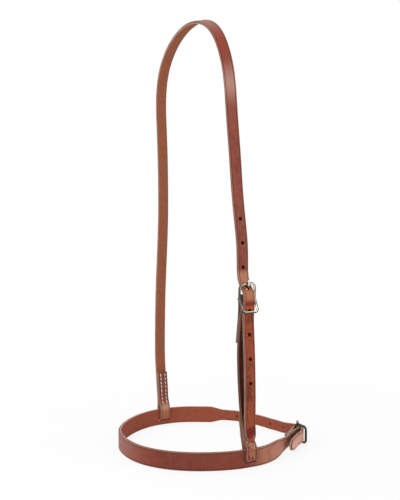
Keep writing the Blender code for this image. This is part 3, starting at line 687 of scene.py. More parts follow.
def tube(shape, path, radii, sides, closed, up):
    """Sweeps a round section along a path in space; each corner keeps its place round the wire."""
    turned = shape.loops.layers.uv.get("Round") or shape.loops.layers.uv.new("Round")
    rings = []
    count = len(path)
    for i, place in enumerate(path):
        before = path[i - 1] if closed or i else path[i]
        after = path[(i + 1) % count] if closed or i < count - 1 else path[i]
        along = (after - before).normalized()
        side = along.cross(up).normalized()
        lift = side.cross(along)
        ring = []
        for k in range(sides):
            angle = 2 * math.pi * (k + 0.5) / sides
            spoke = side * math.cos(angle) + lift * math.sin(angle)
            ring.append(shape.verts.new(place + spoke * radii[i]))
        rings.append(ring)
    pairs = list(zip(rings, rings[1:]))
    if closed:
        pairs.append((rings[-1], rings[0]))
    else:
        shape.faces.new(rings[0])
        shape.faces.new(rings[-1])
    for low, high in pairs:
        for k in range(sides):
            m = (k + 1) % sides
            made = shape.faces.new((low[k], low[m], high[m], high[k]))
            for loop, corner in zip(made.loops, (k, m, m, k)):
                angle = 2 * math.pi * (corner + 0.5) / sides
                loop[turned].uv = (math.cos(angle), math.sin(angle))


def round_ended(path, radius):
    """Path and radii for a wire whose two ends are rounded off."""
    first = (path[0] - path[1]).normalized()
    last = (path[-1] - path[-2]).normalized()
    reach = WIRE_END_REACH_SHARE
    start = [path[0] + first * radius * (reach - way) for way, _ in WIRE_END_SHARES]
    end = [path[-1] + last * radius * (reach - way) for way, _ in reversed(WIRE_END_SHARES)]
    grown = [radius * size for _, size in WIRE_END_SHARES]
    return start + list(path) + end, grown + [radius] * len(path) + grown[::-1]


def tilted(s, n):
    c, d = math.cos(BUCKLE_TILT), math.sin(BUCKLE_TILT)
    return s * c + n * d, n * c - s * d


def rim_path():
    """Centre line of a buckle's rim: across, out of its plane with the dish, along."""
    half, long = BAR_HALF_LENGTH, BAR_SPACING
    side = [long * share for share in RIM_SIDE_SHARES]
    flat = []
    for way, corner, start in ((1, TONGUE_CORNER, 0), (-1, HEEL_CORNER, 180)):
        across, along = way * (half - corner), way * (long - corner)
        flat += arc((across, along), corner, start, start + 90, RIM_CORNER_STEPS)
        flat += [(x, way * long) for x in np.linspace(across, -across, RIM_END_STEPS)[1:-1]]
        flat += arc((-across, along), corner, start + 90, start + 180, RIM_CORNER_STEPS)
        flat += [(-way * half, s) for s in side[::way]]
    return [Vector((across, -rim_height(s / long), s)) for across, s in flat]


def rim_height(share):
    """How far out of its centre bar the rim lies, at a share of the way to its ends."""
    return BAR_SET_BACK * (1 - share**2) + BUCKLE_DISH * abs(share) ** BUCKLE_BEND


def bar_path():
    """Centre line of the bar, whose two ends crank out to the rim's sides."""
    turn = arc((BAR_HALF_LENGTH - BAR_CRANK, BAR_CRANK), BAR_CRANK, -90, 0, 8)
    end = turn + [(BAR_HALF_LENGTH, (BAR_CRANK + BAR_SET_BACK) / 2), (BAR_HALF_LENGTH, BAR_SET_BACK)]
    return [Vector((-x, -n, 0)) for x, n in reversed(end)] + [Vector((x, -n, 0)) for x, n in end]


def crown_stand():
    return Matrix.Translation(Vector((HANGER_X, *crown_seat().bar)))


def chin_stand():
    c, d = math.cos(CHIN_HEADING), math.sin(CHIN_HEADING)
    turn = Matrix(((0, -d, c), (0, c, d), (-1, 0, 0))).to_4x4()
    bar = Vector((*chin_seat().bar, BAND_MIDDLE - BUCKLE_SAG_SHARE * LARGEST_SAG))
    return Matrix.Translation(bar) @ turn


def frame_piece(name, stand, sides):
    """Wire rim with raised ends and a centre bar whose ends are swaged into its sides."""
    shape = bmesh.new()
    path = rim_path()
    tube(shape, path, [BAR_RADIUS] * len(path), sides, True, Vector((0, 1, 0)))
    bar = bar_path()
    tube(shape, bar, [BAR_RADIUS * BAR_SLIM_SHARE] * len(bar), sides, False, Vector((0, 0, 1)))
    made = closed_piece(name, shape)
    made.data.transform(stand @ Matrix.Rotation(-BUCKLE_TILT, 4, "X"))
    return made


def tongue_piece(name, stand, sides):
    """Wire tongue: an eye round the bar, a shank under the strap, a tip over the end bar."""
    eye = BAR_RADIUS + PIVOT_GAP + TONGUE_RADIUS
    rest = tilted(BAR_SPACING, BUCKLE_DISH)
    cross_s, cross_n = CROSSING_SHARES[0] * BAR_SPACING, CROSSING_SHARES[1] * CREST
    points = arc((0, 0), eye, EYE_START, EYE_END, 9)
    points += [(cross_s * s, eye * n) for s, n in SHANK_SHARES]
    points.append((cross_s, cross_n))
    points += arc(rest, eye, RIM_MEETING, 90, 3)
    points.append((rest[0] + TONGUE_OVERHANG, rest[1] + eye))
    line = Route(points)
    path = []
    for s in line.stations(WIRE_STEP, WIRE_BEND):
        along, out = line.point(s)
        path.append(Vector((0, -out, along)))
    shape = bmesh.new()
    path, radii = round_ended(path, TONGUE_RADIUS)
    tube(shape, path, radii, sides, False, Vector((-1, 0, 0)))
    made = closed_piece(name, shape)
    made.data.transform(stand)
    return made


# Sewing

class Seam:
    """Two rows of stitches through a strap's turned end and the layer behind it."""

    def __init__(self, frame_at, route, first, count, fold):
        self.frame_at, self.route, self.first, self.count = frame_at, route, first, count
        fold_at = route.nearest(fold)
        self.fronts = [(first + k * STITCH_PITCH, first + (k + 1) * STITCH_PITCH) for k in range(count)]
        self.backs = []
        for pair in self.fronts:
            found = []
            for s in pair:
                other = 2 * fold_at - s
                found.append(route.nearest(route.point(s), other - CHAPE_CLOSING, other + CHAPE_CLOSING))
            self.backs.append(tuple(found))
        apart = route.point(self.fronts[0][0]) - route.point(self.backs[0][0])
        self.side = 1 if float(apart @ route.normal(self.fronts[0][0])) > 0 else -1

    def stitch_path(self, pair, offset, length):
        """One stitch: out of its hole, over the leather at a slight slant, and down the next."""
        middle = (pair[0] + pair[1]) / 2
        way = 1 if pair[1] > pair[0] else -1
        path = []
        for share, lift, slant, _ in STITCH_SHARES:
            place, across, through = self.frame_at(self.route, middle + length / 2 * way * share)
            out = LEATHER / 2 + lift * THREAD_RADIUS
            lean = THREAD_RADIUS * STITCH_SLANT_SHARE * slant * way
            path.append(place + through * self.side * out + across * (offset + lean))
        return path, across


def thread_piece(name, seam, offset, length, sides):
    """The stitches of one row, on both faces."""
    shape = bmesh.new()
    radii = [THREAD_RADIUS * size for *_, size in STITCH_SHARES]
    for pair in seam.fronts + seam.backs:
        path, across = seam.stitch_path(pair, offset, length)
        tube(shape, path, radii, sides, False, across)
    return closed_piece(name, shape)


# Materials

FLOAT, VECTOR = "NodeSocketFloat", "NodeSocketVector"
MIX_FACTOR, MIX_FROM, MIX_TO, MIX_COLOUR = 0, 6, 7, 2


def toned(colour, *shares):
    """A colour times one share, or times a share for each of red, green and blue."""
    return tuple(c * share for c, share in zip(colour, shares * 3))


class Nodes:
    """Places and links shader nodes."""

    def __init__(self, tree):
        self.tree = tree

    def feed(self, socket, value):
        """Links a socket to another one, or gives it a value of its own."""
        if isinstance(value, bpy.types.NodeSocket):
            self.tree.links.new(value, socket)
        else:
            socket.default_value = value

    def add(self, kind, inputs=None, **settings):
        node = self.tree.nodes.new(kind)
        for key, value in settings.items():
            setattr(node, key, value)
        for key, value in (inputs or {}).items():
            self.feed(node.inputs[key], value)
        return node

    def math(self, operation, *inputs, clamp=False):
        node = self.add("ShaderNodeMath", dict(enumerate(inputs)), operation=operation, use_clamp=clamp)
        return node.outputs[0]

    def times(self, a, b):
        return self.math("MULTIPLY", a, b)

    def plus(self, a, b):
        return self.math("ADD", a, b)

    def minus(self, a, b):
        return self.math("SUBTRACT", a, b)

    def band(self, value, low, high, out_low=0.0, out_high=1.0):
        """Runs smoothly from one value to the other between two limits."""
        inputs = {"Value": value, "From Min": low, "From Max": high, "To Min": out_low, "To Max": out_high}
        return self.add("ShaderNodeMapRange", inputs, interpolation_type="SMOOTHSTEP").outputs[0]

    def mix(self, factor, *colours):
        """Goes from the first colour to the second as the factor grows."""
        start, end = (c if isinstance(c, bpy.types.NodeSocket) else (*c, 1) for c in colours)
        inputs = {MIX_FACTOR: factor, MIX_FROM: start, MIX_TO: end}
        return self.add("ShaderNodeMix", inputs, data_type="RGBA").outputs[MIX_COLOUR]

    def noise(self, place, scale, detail=3.0, roughness=0.55):
        inputs = {"Vector": place, "Scale": scale, "Detail": detail, "Roughness": roughness}
        return self.add("ShaderNodeTexNoise", inputs).outputs[0]

    def drawn_out(self, place, *scale):
        return self.add("ShaderNodeMapping", {"Vector": place, "Scale": scale}).outputs[0]

    def object_place(self):
        return self.add("ShaderNodeTexCoord").outputs["Object"]

    def written(self, name):
        """The two numbers that a piece carries in a UV map."""
        place = self.add("ShaderNodeUVMap", uv_map=name).outputs[0]
        return self.add("ShaderNodeSeparateXYZ", {"Vector": place}).outputs

    def group(self, tree, inputs):
        return self.add("ShaderNodeGroup", inputs, node_tree=tree).outputs


def effect_group(name, inputs, build):
    """A shader node group, made once, with named inputs and one output for each value it builds."""
    tree = bpy.data.node_groups.get(name)
    if tree:
        return tree
    tree = bpy.data.node_groups.new(name, "ShaderNodeTree")
    for label, kind in inputs.items():
        tree.interface.new_socket(label, in_out="INPUT", socket_type=kind)
    built = build(Nodes(tree), tree.nodes.new("NodeGroupInput").outputs)
    for label in built:
        tree.interface.new_socket(label, in_out="OUTPUT", socket_type=FLOAT)
    end = tree.nodes.new("NodeGroupOutput")
    for label, socket in built.items():
        tree.links.new(socket, end.inputs[label])
    return tree


def strap_faces_group():
    """Tells the smooth side, the flesh side and the cut edges of a strap apart."""

    def build(n, given):
        depth, inset = given["Depth"], given["Inset"]
        grain = n.band(depth, *(LEATHER / 2 - under for under in GRAIN_DEPTHS))
        flesh = n.band(n.times(depth, -1.0), *(LEATHER / 2 - under for under in FLESH_DEPTHS))
        crease = n.times(n.band(inset, *CREASE_INSETS), n.band(inset, *CREASE_INNER_INSETS, 1.0, 0.0))
        return {
            "Grain": grain, "Flesh": flesh,
            "Edge": n.math("SUBTRACT", n.minus(1.0, grain), flesh, clamp=True),
            "Crease": n.times(crease, grain),
            # Painted highlight along the rounded edges of the grain side
            "Edge highlight": n.times(n.band(inset, *EDGE_HIGHLIGHT_INSETS, 1.0, 0.0), grain)}

    return effect_group("Strap faces", {"Depth": FLOAT, "Inset": FLOAT}, build)


def leather_grain_group():
    """Cloudy dye, lengthwise streaks, pores and flesh fibres, measured in metres along the strap."""

    def build(n, given):
        axes = {"X": given["Along"], "Y": given["Across"], "Z": given["Depth"]}
        place = n.add("ShaderNodeCombineXYZ", axes).outputs[0]
        lengthwise = n.drawn_out(place, 0.16, 1.0, 1.0)
        pores = n.add("ShaderNodeTexVoronoi", {"Vector": place, "Scale": 2300.0}, feature="SMOOTH_F1")
        return {
            "Cloud": n.noise(place, 42.0, 4.0, 0.6), "Streak": n.noise(lengthwise, 420.0),
            "Pores": pores.outputs[0], "Fleck": n.noise(place, 900.0, 2.0, 0.6),
            "Fibre": n.noise(lengthwise, 1900.0, 4.0, 0.7),
            "Wrinkle": n.noise(n.drawn_out(place, 1.0, 0.14, 1.0), 760.0, 3.0, 0.6),
            "Mottle": n.noise(n.drawn_out(place, 0.6, 1.0, 1.0), 330.0)}

    return effect_group("Leather grain", {"Along": FLOAT, "Across": FLOAT, "Depth": FLOAT}, build)


def stretch_group():
    """One between two distances along a strap, and nothing outside them."""

    def build(n, given):
        rising, falling = (
            (n.minus(given[place], given["Soft"]), n.plus(given[place], given["Soft"]))
            for place in ("Start", "End"))
        rising, falling = n.band(given["Along"], *rising), n.band(given["Along"], *falling, 1.0, 0.0)
        return {"Mask": n.times(rising, falling)}

    return effect_group("Stretch of strap", dict.fromkeys(("Along", "Start", "End", "Soft"), FLOAT), build)


def emptied(owner):
    """The nodes of a material or a world, with none left in them."""
    owner.use_nodes = True
    owner.node_tree.nodes.clear()
    return Nodes(owner.node_tree)


def shaded_material(name):
    made = bpy.data.materials.new(name)
    n = emptied(made)
    shader = n.add("ShaderNodeBsdfPrincipled")
    n.add("ShaderNodeOutputMaterial", {"Surface": shader.outputs[0]})
    return made, n, shader


def feed_shader(n, shader, colour, roughness, height, strength=1.0):
    bump = n.add("ShaderNodeBump", {"Height": height, "Strength": strength, "Distance": 1.0})
    for key, socket in (("Base Color", colour), ("Roughness", roughness), ("Normal", bump.outputs[0])):
        n.feed(shader.inputs[key], socket)


def leather_material(
        name, settings, patches=(), seams=(), creases=(), painted_shade=(), flesh_tone=None, edge_tone=None):
    """Leather for one strap. Patches are (start, end, softness, colour, strength) along it, some of them
    painted highlights and some painted shade, and one with a sixth item shows only in that part of the
    grain; seams are (start, end) of stitched stretches; creases are distances where a buckle has marked it;
    the last list is (start, end, softness, strength) of painted shade, laid over grain and edges alike."""
    made, n, shader = shaded_material(name)
    along, across = n.written("Lay")[:2]
    depth, inset = n.written("Deep")[:2]
    faces = n.group(strap_faces_group(), {"Depth": depth, "Inset": inset})
    grain = n.group(leather_grain_group(), {"Along": along, "Across": across, "Depth": depth})

    def stretch(start, end, soft):
        return n.group(stretch_group(), {"Along": along, "Start": start, "End": end, "Soft": soft})["Mask"]

    def patched(colour, start, end, soft, shade, strength, part=None):
        mask = n.times(stretch(start, end, soft), strength)
        if part:
            mask = n.times(mask, n.band(grain[part], 0.47, 0.6))
        return n.mix(mask, colour, shade)

    def grained(colour, part, low, high, strength, shade):
        return n.mix(n.times(n.band(grain[part], low, high), strength), colour, shade)

    tone, dark, edge_plain = tuple(settings.grain), tuple(settings.grain_dark), tuple(settings.edge)
    colour = n.mix(n.band(grain["Cloud"], 0.36, 0.66), toned(tone, 0.78, 0.66, 0.66), tone)
    colour = grained(colour, "Streak", 0.5, 0.75, 0.35, dark)
    colour = grained(colour, "Wrinkle", 0.5, 0.7, 0.28, dark)
    for patch in patches:
        colour = patched(colour, *patch)
    for place in creases:
        colour = patched(colour, place - MARK_REACH, place + MARK_REACH, MARK_SOFTNESS, dark, 0.6)
    colour = n.mix(n.times(faces["Crease"], 0.75), colour, toned(dark, 0.8))
    # Painted highlight: the grain side's rounded edges lightened toward the edge colour
    colour = n.mix(n.times(faces["Edge highlight"], 0.5), colour, edge_plain)
    flesh_tone = flesh_tone or tuple(settings.flesh)
    flesh_light = tuple(min(1, c) for c in toned(flesh_tone, 1.2))
    flesh_dark = toned(flesh_tone, 0.76)
    flesh = n.mix(n.band(grain["Fleck"], 0.38, 0.64), flesh_dark, flesh_light)
    flesh = n.mix(n.band(grain["Cloud"], 0.35, 0.7), flesh, flesh_tone)
    flesh = grained(flesh, "Streak", 0.48, 0.72, 0.35, flesh_dark)
    colour = n.mix(faces["Flesh"], colour, flesh)
    edge_tone = edge_tone or edge_plain
    edge = n.mix(n.band(grain["Streak"], 0.35, 0.68), edge_tone, toned(edge_tone, 0.62))
    edge = n.mix(n.times(n.band(depth, *DYED_DEPTHS), 0.75), edge, toned(dark, 0.55))
    colour = n.mix(faces["Edge"], colour, edge)
    # Painted shade, over grain and edges alike, where the strap lies in shadow
    for start, end, soft, strength in painted_shade:
        colour = patched(colour, start, end, soft, PAINTED_SHADE_COLOUR, strength)
    # Walls of holes, slits and slots: painted shade inside the cuts, from the grain colour to near black
    cut = n.band(inset, -0.1, 0.0, 1.0, 0.0)
    wall_shade = n.mix(n.math("MULTIPLY", inset, -1.0, clamp=True), tone, CUT_SHADE_COLOUR)
    colour = n.mix(cut, colour, wall_shade)

    base = settings.roughness
    rough = n.band(grain["Cloud"], 0.3, 0.7, base + 0.07, base - 0.05)
    rough = n.plus(rough, n.times(faces["Flesh"], 0.42))
    rough = n.plus(rough, n.times(faces["Edge"], 0.18))
    rough = n.math("ADD", rough, cut, clamp=True)

    pores, *others = (n.times(grain[part], relief) for part, relief in GRAIN_RELIEFS)
    height = pores
    for relief in others:
        height = n.plus(height, relief)
    height = n.plus(height, n.times(n.times(grain["Fibre"], faces["Flesh"]), FIBRE_RELIEF))
    height = n.minus(height, n.times(faces["Crease"], CREASE_RELIEF))
    row = n.math("ABSOLUTE", n.minus(n.math("ABSOLUTE", across), STITCH_ROW))
    for start, end in seams:
        groove = n.times(n.band(row, *SEAM_REACH, 1.0, 0.0), stretch(start, end, SEAM_SOFTNESS))
        height = n.minus(height, n.times(groove, SEAM_RELIEF))
    for place in creases:
        dent = stretch(place - DENT_REACH, place + DENT_REACH, DENT_SOFTNESS)
        height = n.minus(height, n.times(dent, DENT_RELIEF))
    feed_shader(n, shader, colour, rough, height, 0.8)
    shader.inputs["Specular IOR Level"].default_value = 0.14
    return made


def thread_material(name, pale):
    """Waxed thread: twisted plies and a little dirt."""
    made, n, shader = shaded_material(name)
    place = n.object_place()
    inputs = {"Vector": place, "Scale": 900.0, "Distortion": 2.0, "Detail": 1.0}
    twist = n.add("ShaderNodeTexWave", inputs, bands_direction="DIAGONAL").outputs[1]
    dirt = n.noise(place, 500.0)
    dark = toned(pale, 0.74)
    colour = n.mix(n.band(dirt, 0.35, 0.65), dark, pale)
    colour = n.mix(n.times(twist, 0.25), colour, dark)
    feed_shader(n, shader, colour, n.band(dirt, 0.3, 0.7, 0.62, 0.8), n.times(twist, PLY_RELIEF))
    return made


def plating_group():
    """Plated wire: a painted highlight inside the rim, painted shade and a rougher finish outside, in place
    of reflections; finely scratched.
    """

    def build(n, given):
        place = given["Place"]
        cloud = n.noise(place, 180.0, 3.0, 0.5)
        ragged = n.plus(given["Outward"], n.times(n.minus(cloud, 0.5), 0.8))
        scratch = n.noise(n.drawn_out(place, 1.0, 1.0, 0.12), 2600.0, 2.0, 0.5)
        return {
            "Shaded side": n.band(ragged, -0.42, 0.12), "Scratch": scratch,
            "Height": n.times(scratch, SCRATCH_RELIEF)}

    return effect_group("Plating highlight and shade", {"Place": VECTOR, "Outward": FLOAT}, build)


def nickel_material(name, tone):
    made, n, shader = shaded_material(name)
    outward = n.times(n.written("Round")[0], -1.0)
    plating_light = n.group(plating_group(), {"Place": n.object_place(), "Outward": outward})
    # Bright inside and dark outside the rim: a painted highlight and painted shade on the wire
    colour = n.mix(plating_light["Shaded side"], tone, toned(tone, 0.13, 0.12, 0.09))
    rough = n.plus(
        n.band(plating_light["Shaded side"], 0.0, 1.0, PLATING_ROUGHNESS, PLATING_ROUGHNESS + 0.14),
        n.times(plating_light["Scratch"], 0.08))
    feed_shader(n, shader, colour, rough, plating_light["Height"])
    shader.inputs["Metallic"].default_value = 1.0
    return made


def seen_rays(n):
    """One where a ray shows the background: to the camera, in metal and through glass."""
    ray = n.add("ShaderNodeLightPath").outputs
    seen = n.math("MAXIMUM", ray["Is Camera Ray"], ray["Is Glossy Ray"])
    return n.math("MAXIMUM", seen, ray["Is Transmission Ray"])


# Operators

class NOSEBAND_OT_band(bpy.types.Operator):
    """Make the muzzle strap in one length, from its folded end to the tip of its billet"""

    bl_idname = "noseband.band"
    bl_label = "Noseband strap"

    def execute(self, context):
        settings = context.scene.noseband_leather
        route = band_route()
        near = route.nearest((LOOP_CENTRE_X, LOOP_CENTRE_Y - LOOP_RADIUS), end=route.length / 2)
        far = route.nearest((LOOP_CENTRE_X, LOOP_CENTRE_Y + LOOP_RADIUS))

        def width_at(s):
            wide = eased(s, near - NEAR_TAPER_START - NEAR_TAPER_LENGTH, NEAR_TAPER_LENGTH)
            wide -= eased(s, far + FAR_TAPER_START, FAR_TAPER_LENGTH)
            return tip_width(STRAP_WIDTH + (BAND_WIDTH - STRAP_WIDTH) * wide, route.length - s)

        strap = strap_piece("noseband_band", route, plan_frame, width_at, 1, settings.edge_round, TIP_LENGTH)
        cuts, _ = hole_cuts(plan_frame, route, chin_seat().crossing(), CHIN_HOLE_PITCH, CHIN_HOLES, 0)
        cut_through(strap, cuts, 1, CHIN_HOLE_SHADE)
        cuts = []
        for s in (near, far):
            place, across, through = plan_frame(route, s)
            place.x, place.z = HANGER_X, ROCK_HEIGHT
            cuts.append(((place, across, through), SLIT_LENGTH, SLIT_HEIGHT, SLIT_CORNER, STRAIGHT_SHARE))
        cut_through(strap, cuts, 1, SLIT_SHADE)
        tongue_slot(strap, chin_stand().translation, Vector((0, 0, 1)))
        tail = route.length - CHIN_TAIL
        patches = [
            # Painted highlight on the band's side toward the chin buckle
            (near - 0.075, near - 0.008, 0.018, (0.54, 0.220, 0.135), 0.9),
            # Painted highlight at the front of the nose
            (near + 0.130, near + 0.175, 0.03, (0.36, 0.12, 0.085), 0.6),
            # Painted shade across the front that faces the camera
            (near + 0.045, near + 0.100, 0.02, (0.150, 0.034, 0.022), 0.45),
            (tail - 0.004, route.length + 0.01, 0.003, (0.76, 0.355, 0.235), 0.9),
            (-0.01, 0.060, 0.012, (0.40, 0.17, 0.10), 0.6),
            (near - 0.08, near + 0.30, 0.01, (0.34, 0.115, 0.070), 0.2, "Wrinkle"),
            (near - 0.08, near + 0.30, 0.01, (0.13, 0.028, 0.016), 0.3, "Cloud"),
        ]
        material = leather_material(
            "noseband_harness_leather", settings, patches,
            [(2 * STITCH_START, 2 * STITCH_START + CHAPE_STITCHES * STITCH_PITCH)],
            flesh_tone=(0.325, 0.083, 0.046), edge_tone=(0.56, 0.37, 0.295))
        finish_piece(strap, material, "noseband", ["noseband_strap"])
        return {"FINISHED"}


class NOSEBAND_OT_crown(bpy.types.Operator):
    """Make the crown strap: far loop, arch, holes, buckle and billet"""

    bl_idname = "noseband.crown"
    bl_label = "Crown strap"

    def execute(self, context):
        settings = context.scene.noseband_leather
        route = crown_route()

        def width_at(s):
            return tip_width(STRAP_WIDTH, route.length - s)

        strap = strap_piece(
            "crown_leather_strap", route, hanger_frame, width_at, -1, settings.edge_round, TIP_LENGTH)
        cuts, buckle = hole_cuts(
            hanger_frame, route, crown_seat().crossing(), CROWN_HOLE_PITCH, CROWN_HOLES_ABOVE,
            CROWN_HOLES_BELOW, CROWN_HOLE_SET_BACK)
        cut_through(strap, cuts, -1, CROWN_HOLE_SHADE)
        end = route.length
        arch_top = route.nearest((LOOP_CENTRE_Y, CROWN_HEIGHT))
        foot = STITCH_START + FAR_LOOP_STITCHES * STITCH_PITCH
        patches = [
            (buckle - 0.004, end + 0.01, 0.006, settings.tail, 0.9),
            (buckle - 0.021, buckle - 0.002, 0.003, (0.54, 0.225, 0.135), 0.88),
            (buckle + 0.001, buckle + 0.012, 0.003, (0.45, 0.185, 0.090), 0.85),
            # Painted shadow of the buckle's lower rim on the billet
            (buckle + 0.0135, buckle + 0.0175, 0.0015, (0.17, 0.020, 0.012), 0.7),
            (buckle + 0.0185, buckle + 0.0240, 0.0015, (0.50, 0.105, 0.030), 0.7),
            (end - 0.0145, end - 0.0035, 0.0015, (0.150, 0.006, 0.004), 0.93),
            # Painted highlight at the top of the arch
            (arch_top - 0.02, arch_top + 0.02, 0.02, (0.36, 0.15, 0.11), 0.6),
            (arch_top + 0.060, buckle - 0.030, 0.02, (0.30, 0.095, 0.066), 0.5),
            (arch_top + 0.030, arch_top + 0.068, 0.012, (0.27, 0.042, 0.022), 0.7),
            # Painted highlight: the glossy sheen on the near limb
            (arch_top + 0.086, arch_top + 0.114, 0.014, (0.50, 0.28, 0.23), 0.75),
            (foot + 0.002, foot + 0.022, 0.003, (0.42, 0.15, 0.070), 0.8),
            # Painted highlight on the foot of the far loop
            (foot, foot + 0.007, 0.003, (0.66, 0.40, 0.31), 0.45),
            (buckle + 0.022, end - 0.012, 0.003, (0.120, 0.020, 0.009), 0.75, "Cloud"),
            (buckle + 0.022, end - 0.012, 0.003, (0.43, 0.092, 0.034), 0.3, "Streak"),
            (buckle + 0.022, end - 0.012, 0.003, (0.115, 0.020, 0.010), 0.4, "Mottle"),
            (buckle + 0.047, buckle + 0.052, 0.001, (0.55, 0.25, 0.16), 0.6, "Cloud"),
            (end - 0.006, end + 0.01, 0.002, (0.42, 0.15, 0.075), 0.8, "Mottle"),
            (arch_top + 0.145, buckle - 0.02, 0.015, (0.165, 0.032, 0.020), 0.5, "Mottle"),
        ]
        material = leather_material(
            "crown_harness_leather", settings, patches, [(STITCH_START, foot)],
            [buckle + 2 * CROWN_HOLE_PITCH, buckle + 3 * CROWN_HOLE_PITCH - 0.002])
        finish_piece(strap, material, "hanger", ["crown_strap"])
        return {"FINISHED"}


class NOSEBAND_OT_cheek(bpy.types.Operator):
    """Make the cheek strap: chape round the buckle's bar, fall, and the near loop"""

    bl_idname = "noseband.cheek"
    bl_label = "Cheek strap"

    def execute(self, context):
        settings = context.scene.noseband_leather
        route = cheek_route()
        strap = strap_piece(
            "cheek_leather_strap", route, hanger_frame, lambda s: STRAP_WIDTH, -1, settings.edge_round)
        tongue_slot(strap, crown_stand().translation, Vector((1, 0, 0)))
        end = route.length
        seams = [
            (end - STITCH_START - NEAR_LOOP_STITCHES * STITCH_PITCH, end - STITCH_START),
            (2 * STITCH_START, 2 * STITCH_START + CHAPE_STITCHES * STITCH_PITCH),
        ]
        fold = route.nearest((LOOP_CENTRE_Y - LOOP_RADIUS, TURN_HEIGHT - TURN_RADIUS))
        patches = [
            # Painted shade: the cheek strap's fall, dark where it lies behind the crown billet
            (CROWN_CHAPE * 1.5, fold - 0.045, 0.012, (0.048, 0.009, 0.004), 0.9),
            (fold - 0.042, fold + 0.004, 0.004, (0.38, 0.130, 0.068), 0.8),
            (fold - 0.040, fold, 0.003, (0.52, 0.230, 0.130), 0.6, "Fleck"),
            (fold - 0.040, fold, 0.003, (0.16, 0.025, 0.014), 0.88, "Mottle"),
            (fold - 0.036, fold - 0.018, 0.003, (0.85, 0.64, 0.50), 0.6, "Fleck"),
        ]
        # Painted shade: the chape inside the crown buckle, and the fall behind the crown billet
        painted_shade = [(0.030, 0.066, 0.006, 0.75), (0.080, fold - 0.045, 0.015, 0.25)]
        material = leather_material(
            "cheek_harness_leather", settings, patches, seams, painted_shade=painted_shade, edge_tone=(0.27, 0.155, 0.115))
        finish_piece(strap, material, "hanger", ["cheek_strap"])
        return {"FINISHED"}


class NOSEBAND_OT_buckles(bpy.types.Operator):
    """Make the two wire buckles and their tongues"""

    bl_idname = "noseband.buckles"
    bl_label = "Buckles"

    def execute(self, context):
        settings = context.scene.noseband_metal
        sides = settings.sides
        for place, stand, tone in (
                ("crown", crown_stand(), settings.crown), ("chin", chin_stand(), settings.chin)):
            material = nickel_material(place + "_plating", tone)
            rim = frame_piece(place + "_wire_frame", stand, sides)
            finish_piece(rim, material, place + "_frame", [place + "_buckle_frame"])
            tongue = tongue_piece(place + "_wire_tongue", stand, sides)
            finish_piece(tongue, material, place + "_tongue", [place + "_buckle_tongue"])
        return {"FINISHED"}


class NOSEBAND_OT_sewing(bpy.types.Operator):
    """Sew the loops and the chapes, stitch by stitch"""

    bl_idname = "noseband.sewing"
    bl_label = "Stitching"

    def execute(self, context):
        settings = context.scene.noseband_sewing
        fresh = thread_material("waxed_linen_thread", tuple(settings.colour))
        # The chapes' thread is darkened as painted shade beside the buckles
        shade_thread = thread_material("linen_thread_in_painted_shade", tuple(settings.shade_thread))
        crown_line, cheek_line, plan = crown_route(), cheek_route(), band_route()
        far_fold = (LOOP_CENTRE_Y + LOOP_RADIUS, TURN_HEIGHT - TURN_RADIUS)
        near_fold = (LOOP_CENTRE_Y - LOOP_RADIUS, TURN_HEIGHT - TURN_RADIUS)
        near_start = cheek_line.length - STITCH_START - NEAR_LOOP_STITCHES * STITCH_PITCH
        chape = 2 * STITCH_START
        crown_bar, chin_bar = crown_seat().at(FOLD_RADIUS, 0), chin_seat().at(FOLD_RADIUS, 0)
        hanger_ends, chin_ends = ("front", "rear"), ("lower", "upper")
        for name, seam, thread, body, ends in (
                ("far_loop", Seam(hanger_frame, crown_line, STITCH_START, FAR_LOOP_STITCHES, far_fold),
                 fresh, "hanger", hanger_ends),
                ("near_loop", Seam(hanger_frame, cheek_line, near_start, NEAR_LOOP_STITCHES, near_fold),
                 fresh, "hanger", hanger_ends),
                ("crown_chape", Seam(hanger_frame, cheek_line, chape, CHAPE_STITCHES, crown_bar),
                 shade_thread, "hanger", hanger_ends),
                ("chin_chape", Seam(plan_frame, plan, chape, CHAPE_STITCHES, chin_bar),
                 shade_thread, "noseband", chin_ends)):
            for end, offset in zip(ends, (-STITCH_ROW, STITCH_ROW)):
                row = thread_piece(name + "_stitches_" + end, seam, offset, settings.stitch, settings.sides)
                finish_piece(row, thread, body, [name + "_thread_" + end])
        return {"FINISHED"}


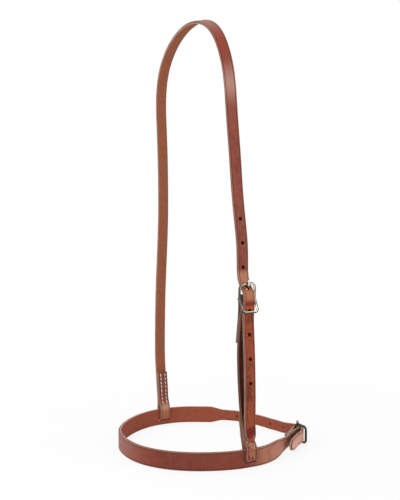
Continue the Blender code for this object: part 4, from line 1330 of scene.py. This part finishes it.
class NOSEBAND_OT_stage(bpy.types.Operator):
    """Set the pale floor, the soft lights and the camera"""

    bl_idname = "noseband.stage"
    bl_label = "Stage"

    def execute(self, context):
        scene = context.scene
        settings = scene.noseband_stage
        shape = bmesh.new()
        bmesh.ops.create_grid(shape, x_segments=1, y_segments=1, size=FLOOR_REACH)
        floor = new_piece("studio_floor", shape)
        floor.location.z = -FLOOR_DROP
        made = bpy.data.materials.new("studio_floor")
        n = emptied(made)
        away = n.add("ShaderNodeVectorMath", {"Vector": n.object_place()}, operation="LENGTH")
        share = n.band(away.outputs["Value"], 0.15, 0.6, 0.84, 1.0)
        plain = n.add("ShaderNodeBsdfDiffuse", {"Color": (*settings.floor, 1)})
        bright = n.add("ShaderNodeEmission", {"Color": WHITE, "Strength": 1.0})
        mixed = n.add("ShaderNodeMixShader", {
            0: n.times(seen_rays(n), share), 1: plain.outputs[0], 2: bright.outputs[0]})
        n.add("ShaderNodeOutputMaterial", {"Surface": mixed.outputs[0]})
        floor.data.materials.append(made)

        scene.world = scene.world or bpy.data.worlds.new("studio")
        n = emptied(scene.world)
        level = n.band(seen_rays(n), 0.0, 1.0, settings.world_level, 1.0)
        back = n.add("ShaderNodeBackground", {"Strength": level, "Color": WHITE})
        n.add("ShaderNodeOutputWorld", {"Surface": back.outputs[0]})

        for name, (place, target, size, power) in LAMPS.items():
            data = bpy.data.lights.new(name, "AREA")
            data.shape = "RECTANGLE"
            data.size, data.size_y = size
            data.energy = power
            light = bpy.data.objects.new(name, data)
            light.location = place
            light.rotation_euler = (Vector(target) - Vector(place)).to_track_quat("-Z", "Y").to_euler()
            scene.collection.objects.link(light)

        data = bpy.data.cameras.new("camera")
        data.lens = settings.lens
        data.clip_start = CAMERA_NEAR
        camera = bpy.data.objects.new("camera", data)
        camera.location = CAMERA_PLACE
        camera.rotation_euler = CAMERA_TURN
        scene.collection.objects.link(camera)
        bpy.context.scene.camera = camera
        scene.view_settings.view_transform = "Standard"
        return {"FINISHED"}


class NOSEBAND_PT_panel(bpy.types.Panel):
    """Lists the pieces of the noseband and their settings"""

    bl_idname = "NOSEBAND_PT_panel"
    bl_label = "Noseband"
    bl_space_type = "VIEW_3D"
    bl_region_type = "UI"
    bl_category = "Noseband"

    def draw(self, context):
        layout = self.layout
        scene = context.scene
        for title, group, steps in (
                ("Leather", scene.noseband_leather, ("noseband.band", "noseband.crown", "noseband.cheek")),
                ("Sewing", scene.noseband_sewing, ("noseband.sewing",)),
                ("Metal", scene.noseband_metal, ("noseband.buckles",)),
                ("Stage", scene.noseband_stage, ("noseband.stage",))):
            box = layout.box()
            box.label(text=title)
            for name in group.bl_rna.properties.keys():
                if name not in ("rna_type", "name"):
                    box.prop(group, name)
            for step in steps:
                box.operator(step)


SETTINGS = {
    "noseband_leather": NosebandLeather, "noseband_sewing": NosebandSewing,
    "noseband_metal": NosebandMetal, "noseband_stage": NosebandStage,
}
CLASSES = (
    *SETTINGS.values(), NOSEBAND_OT_band, NOSEBAND_OT_crown, NOSEBAND_OT_cheek, NOSEBAND_OT_buckles,
    NOSEBAND_OT_sewing, NOSEBAND_OT_stage, NOSEBAND_PT_panel,
)


def register():
    for cls in CLASSES:
        bpy.utils.register_class(cls)
    for name, group in SETTINGS.items():
        setattr(bpy.types.Scene, name, PointerProperty(type=group))


def unregister():
    for name in SETTINGS:
        delattr(bpy.types.Scene, name)
    for cls in reversed(CLASSES):
        bpy.utils.unregister_class(cls)


def main():
    register()
    bpy.ops.noseband.stage()
    bpy.ops.noseband.band()
    bpy.ops.noseband.crown()
    bpy.ops.noseband.cheek()
    bpy.ops.noseband.buckles()
    bpy.ops.noseband.sewing()


if __name__ == "__main__":
    main()
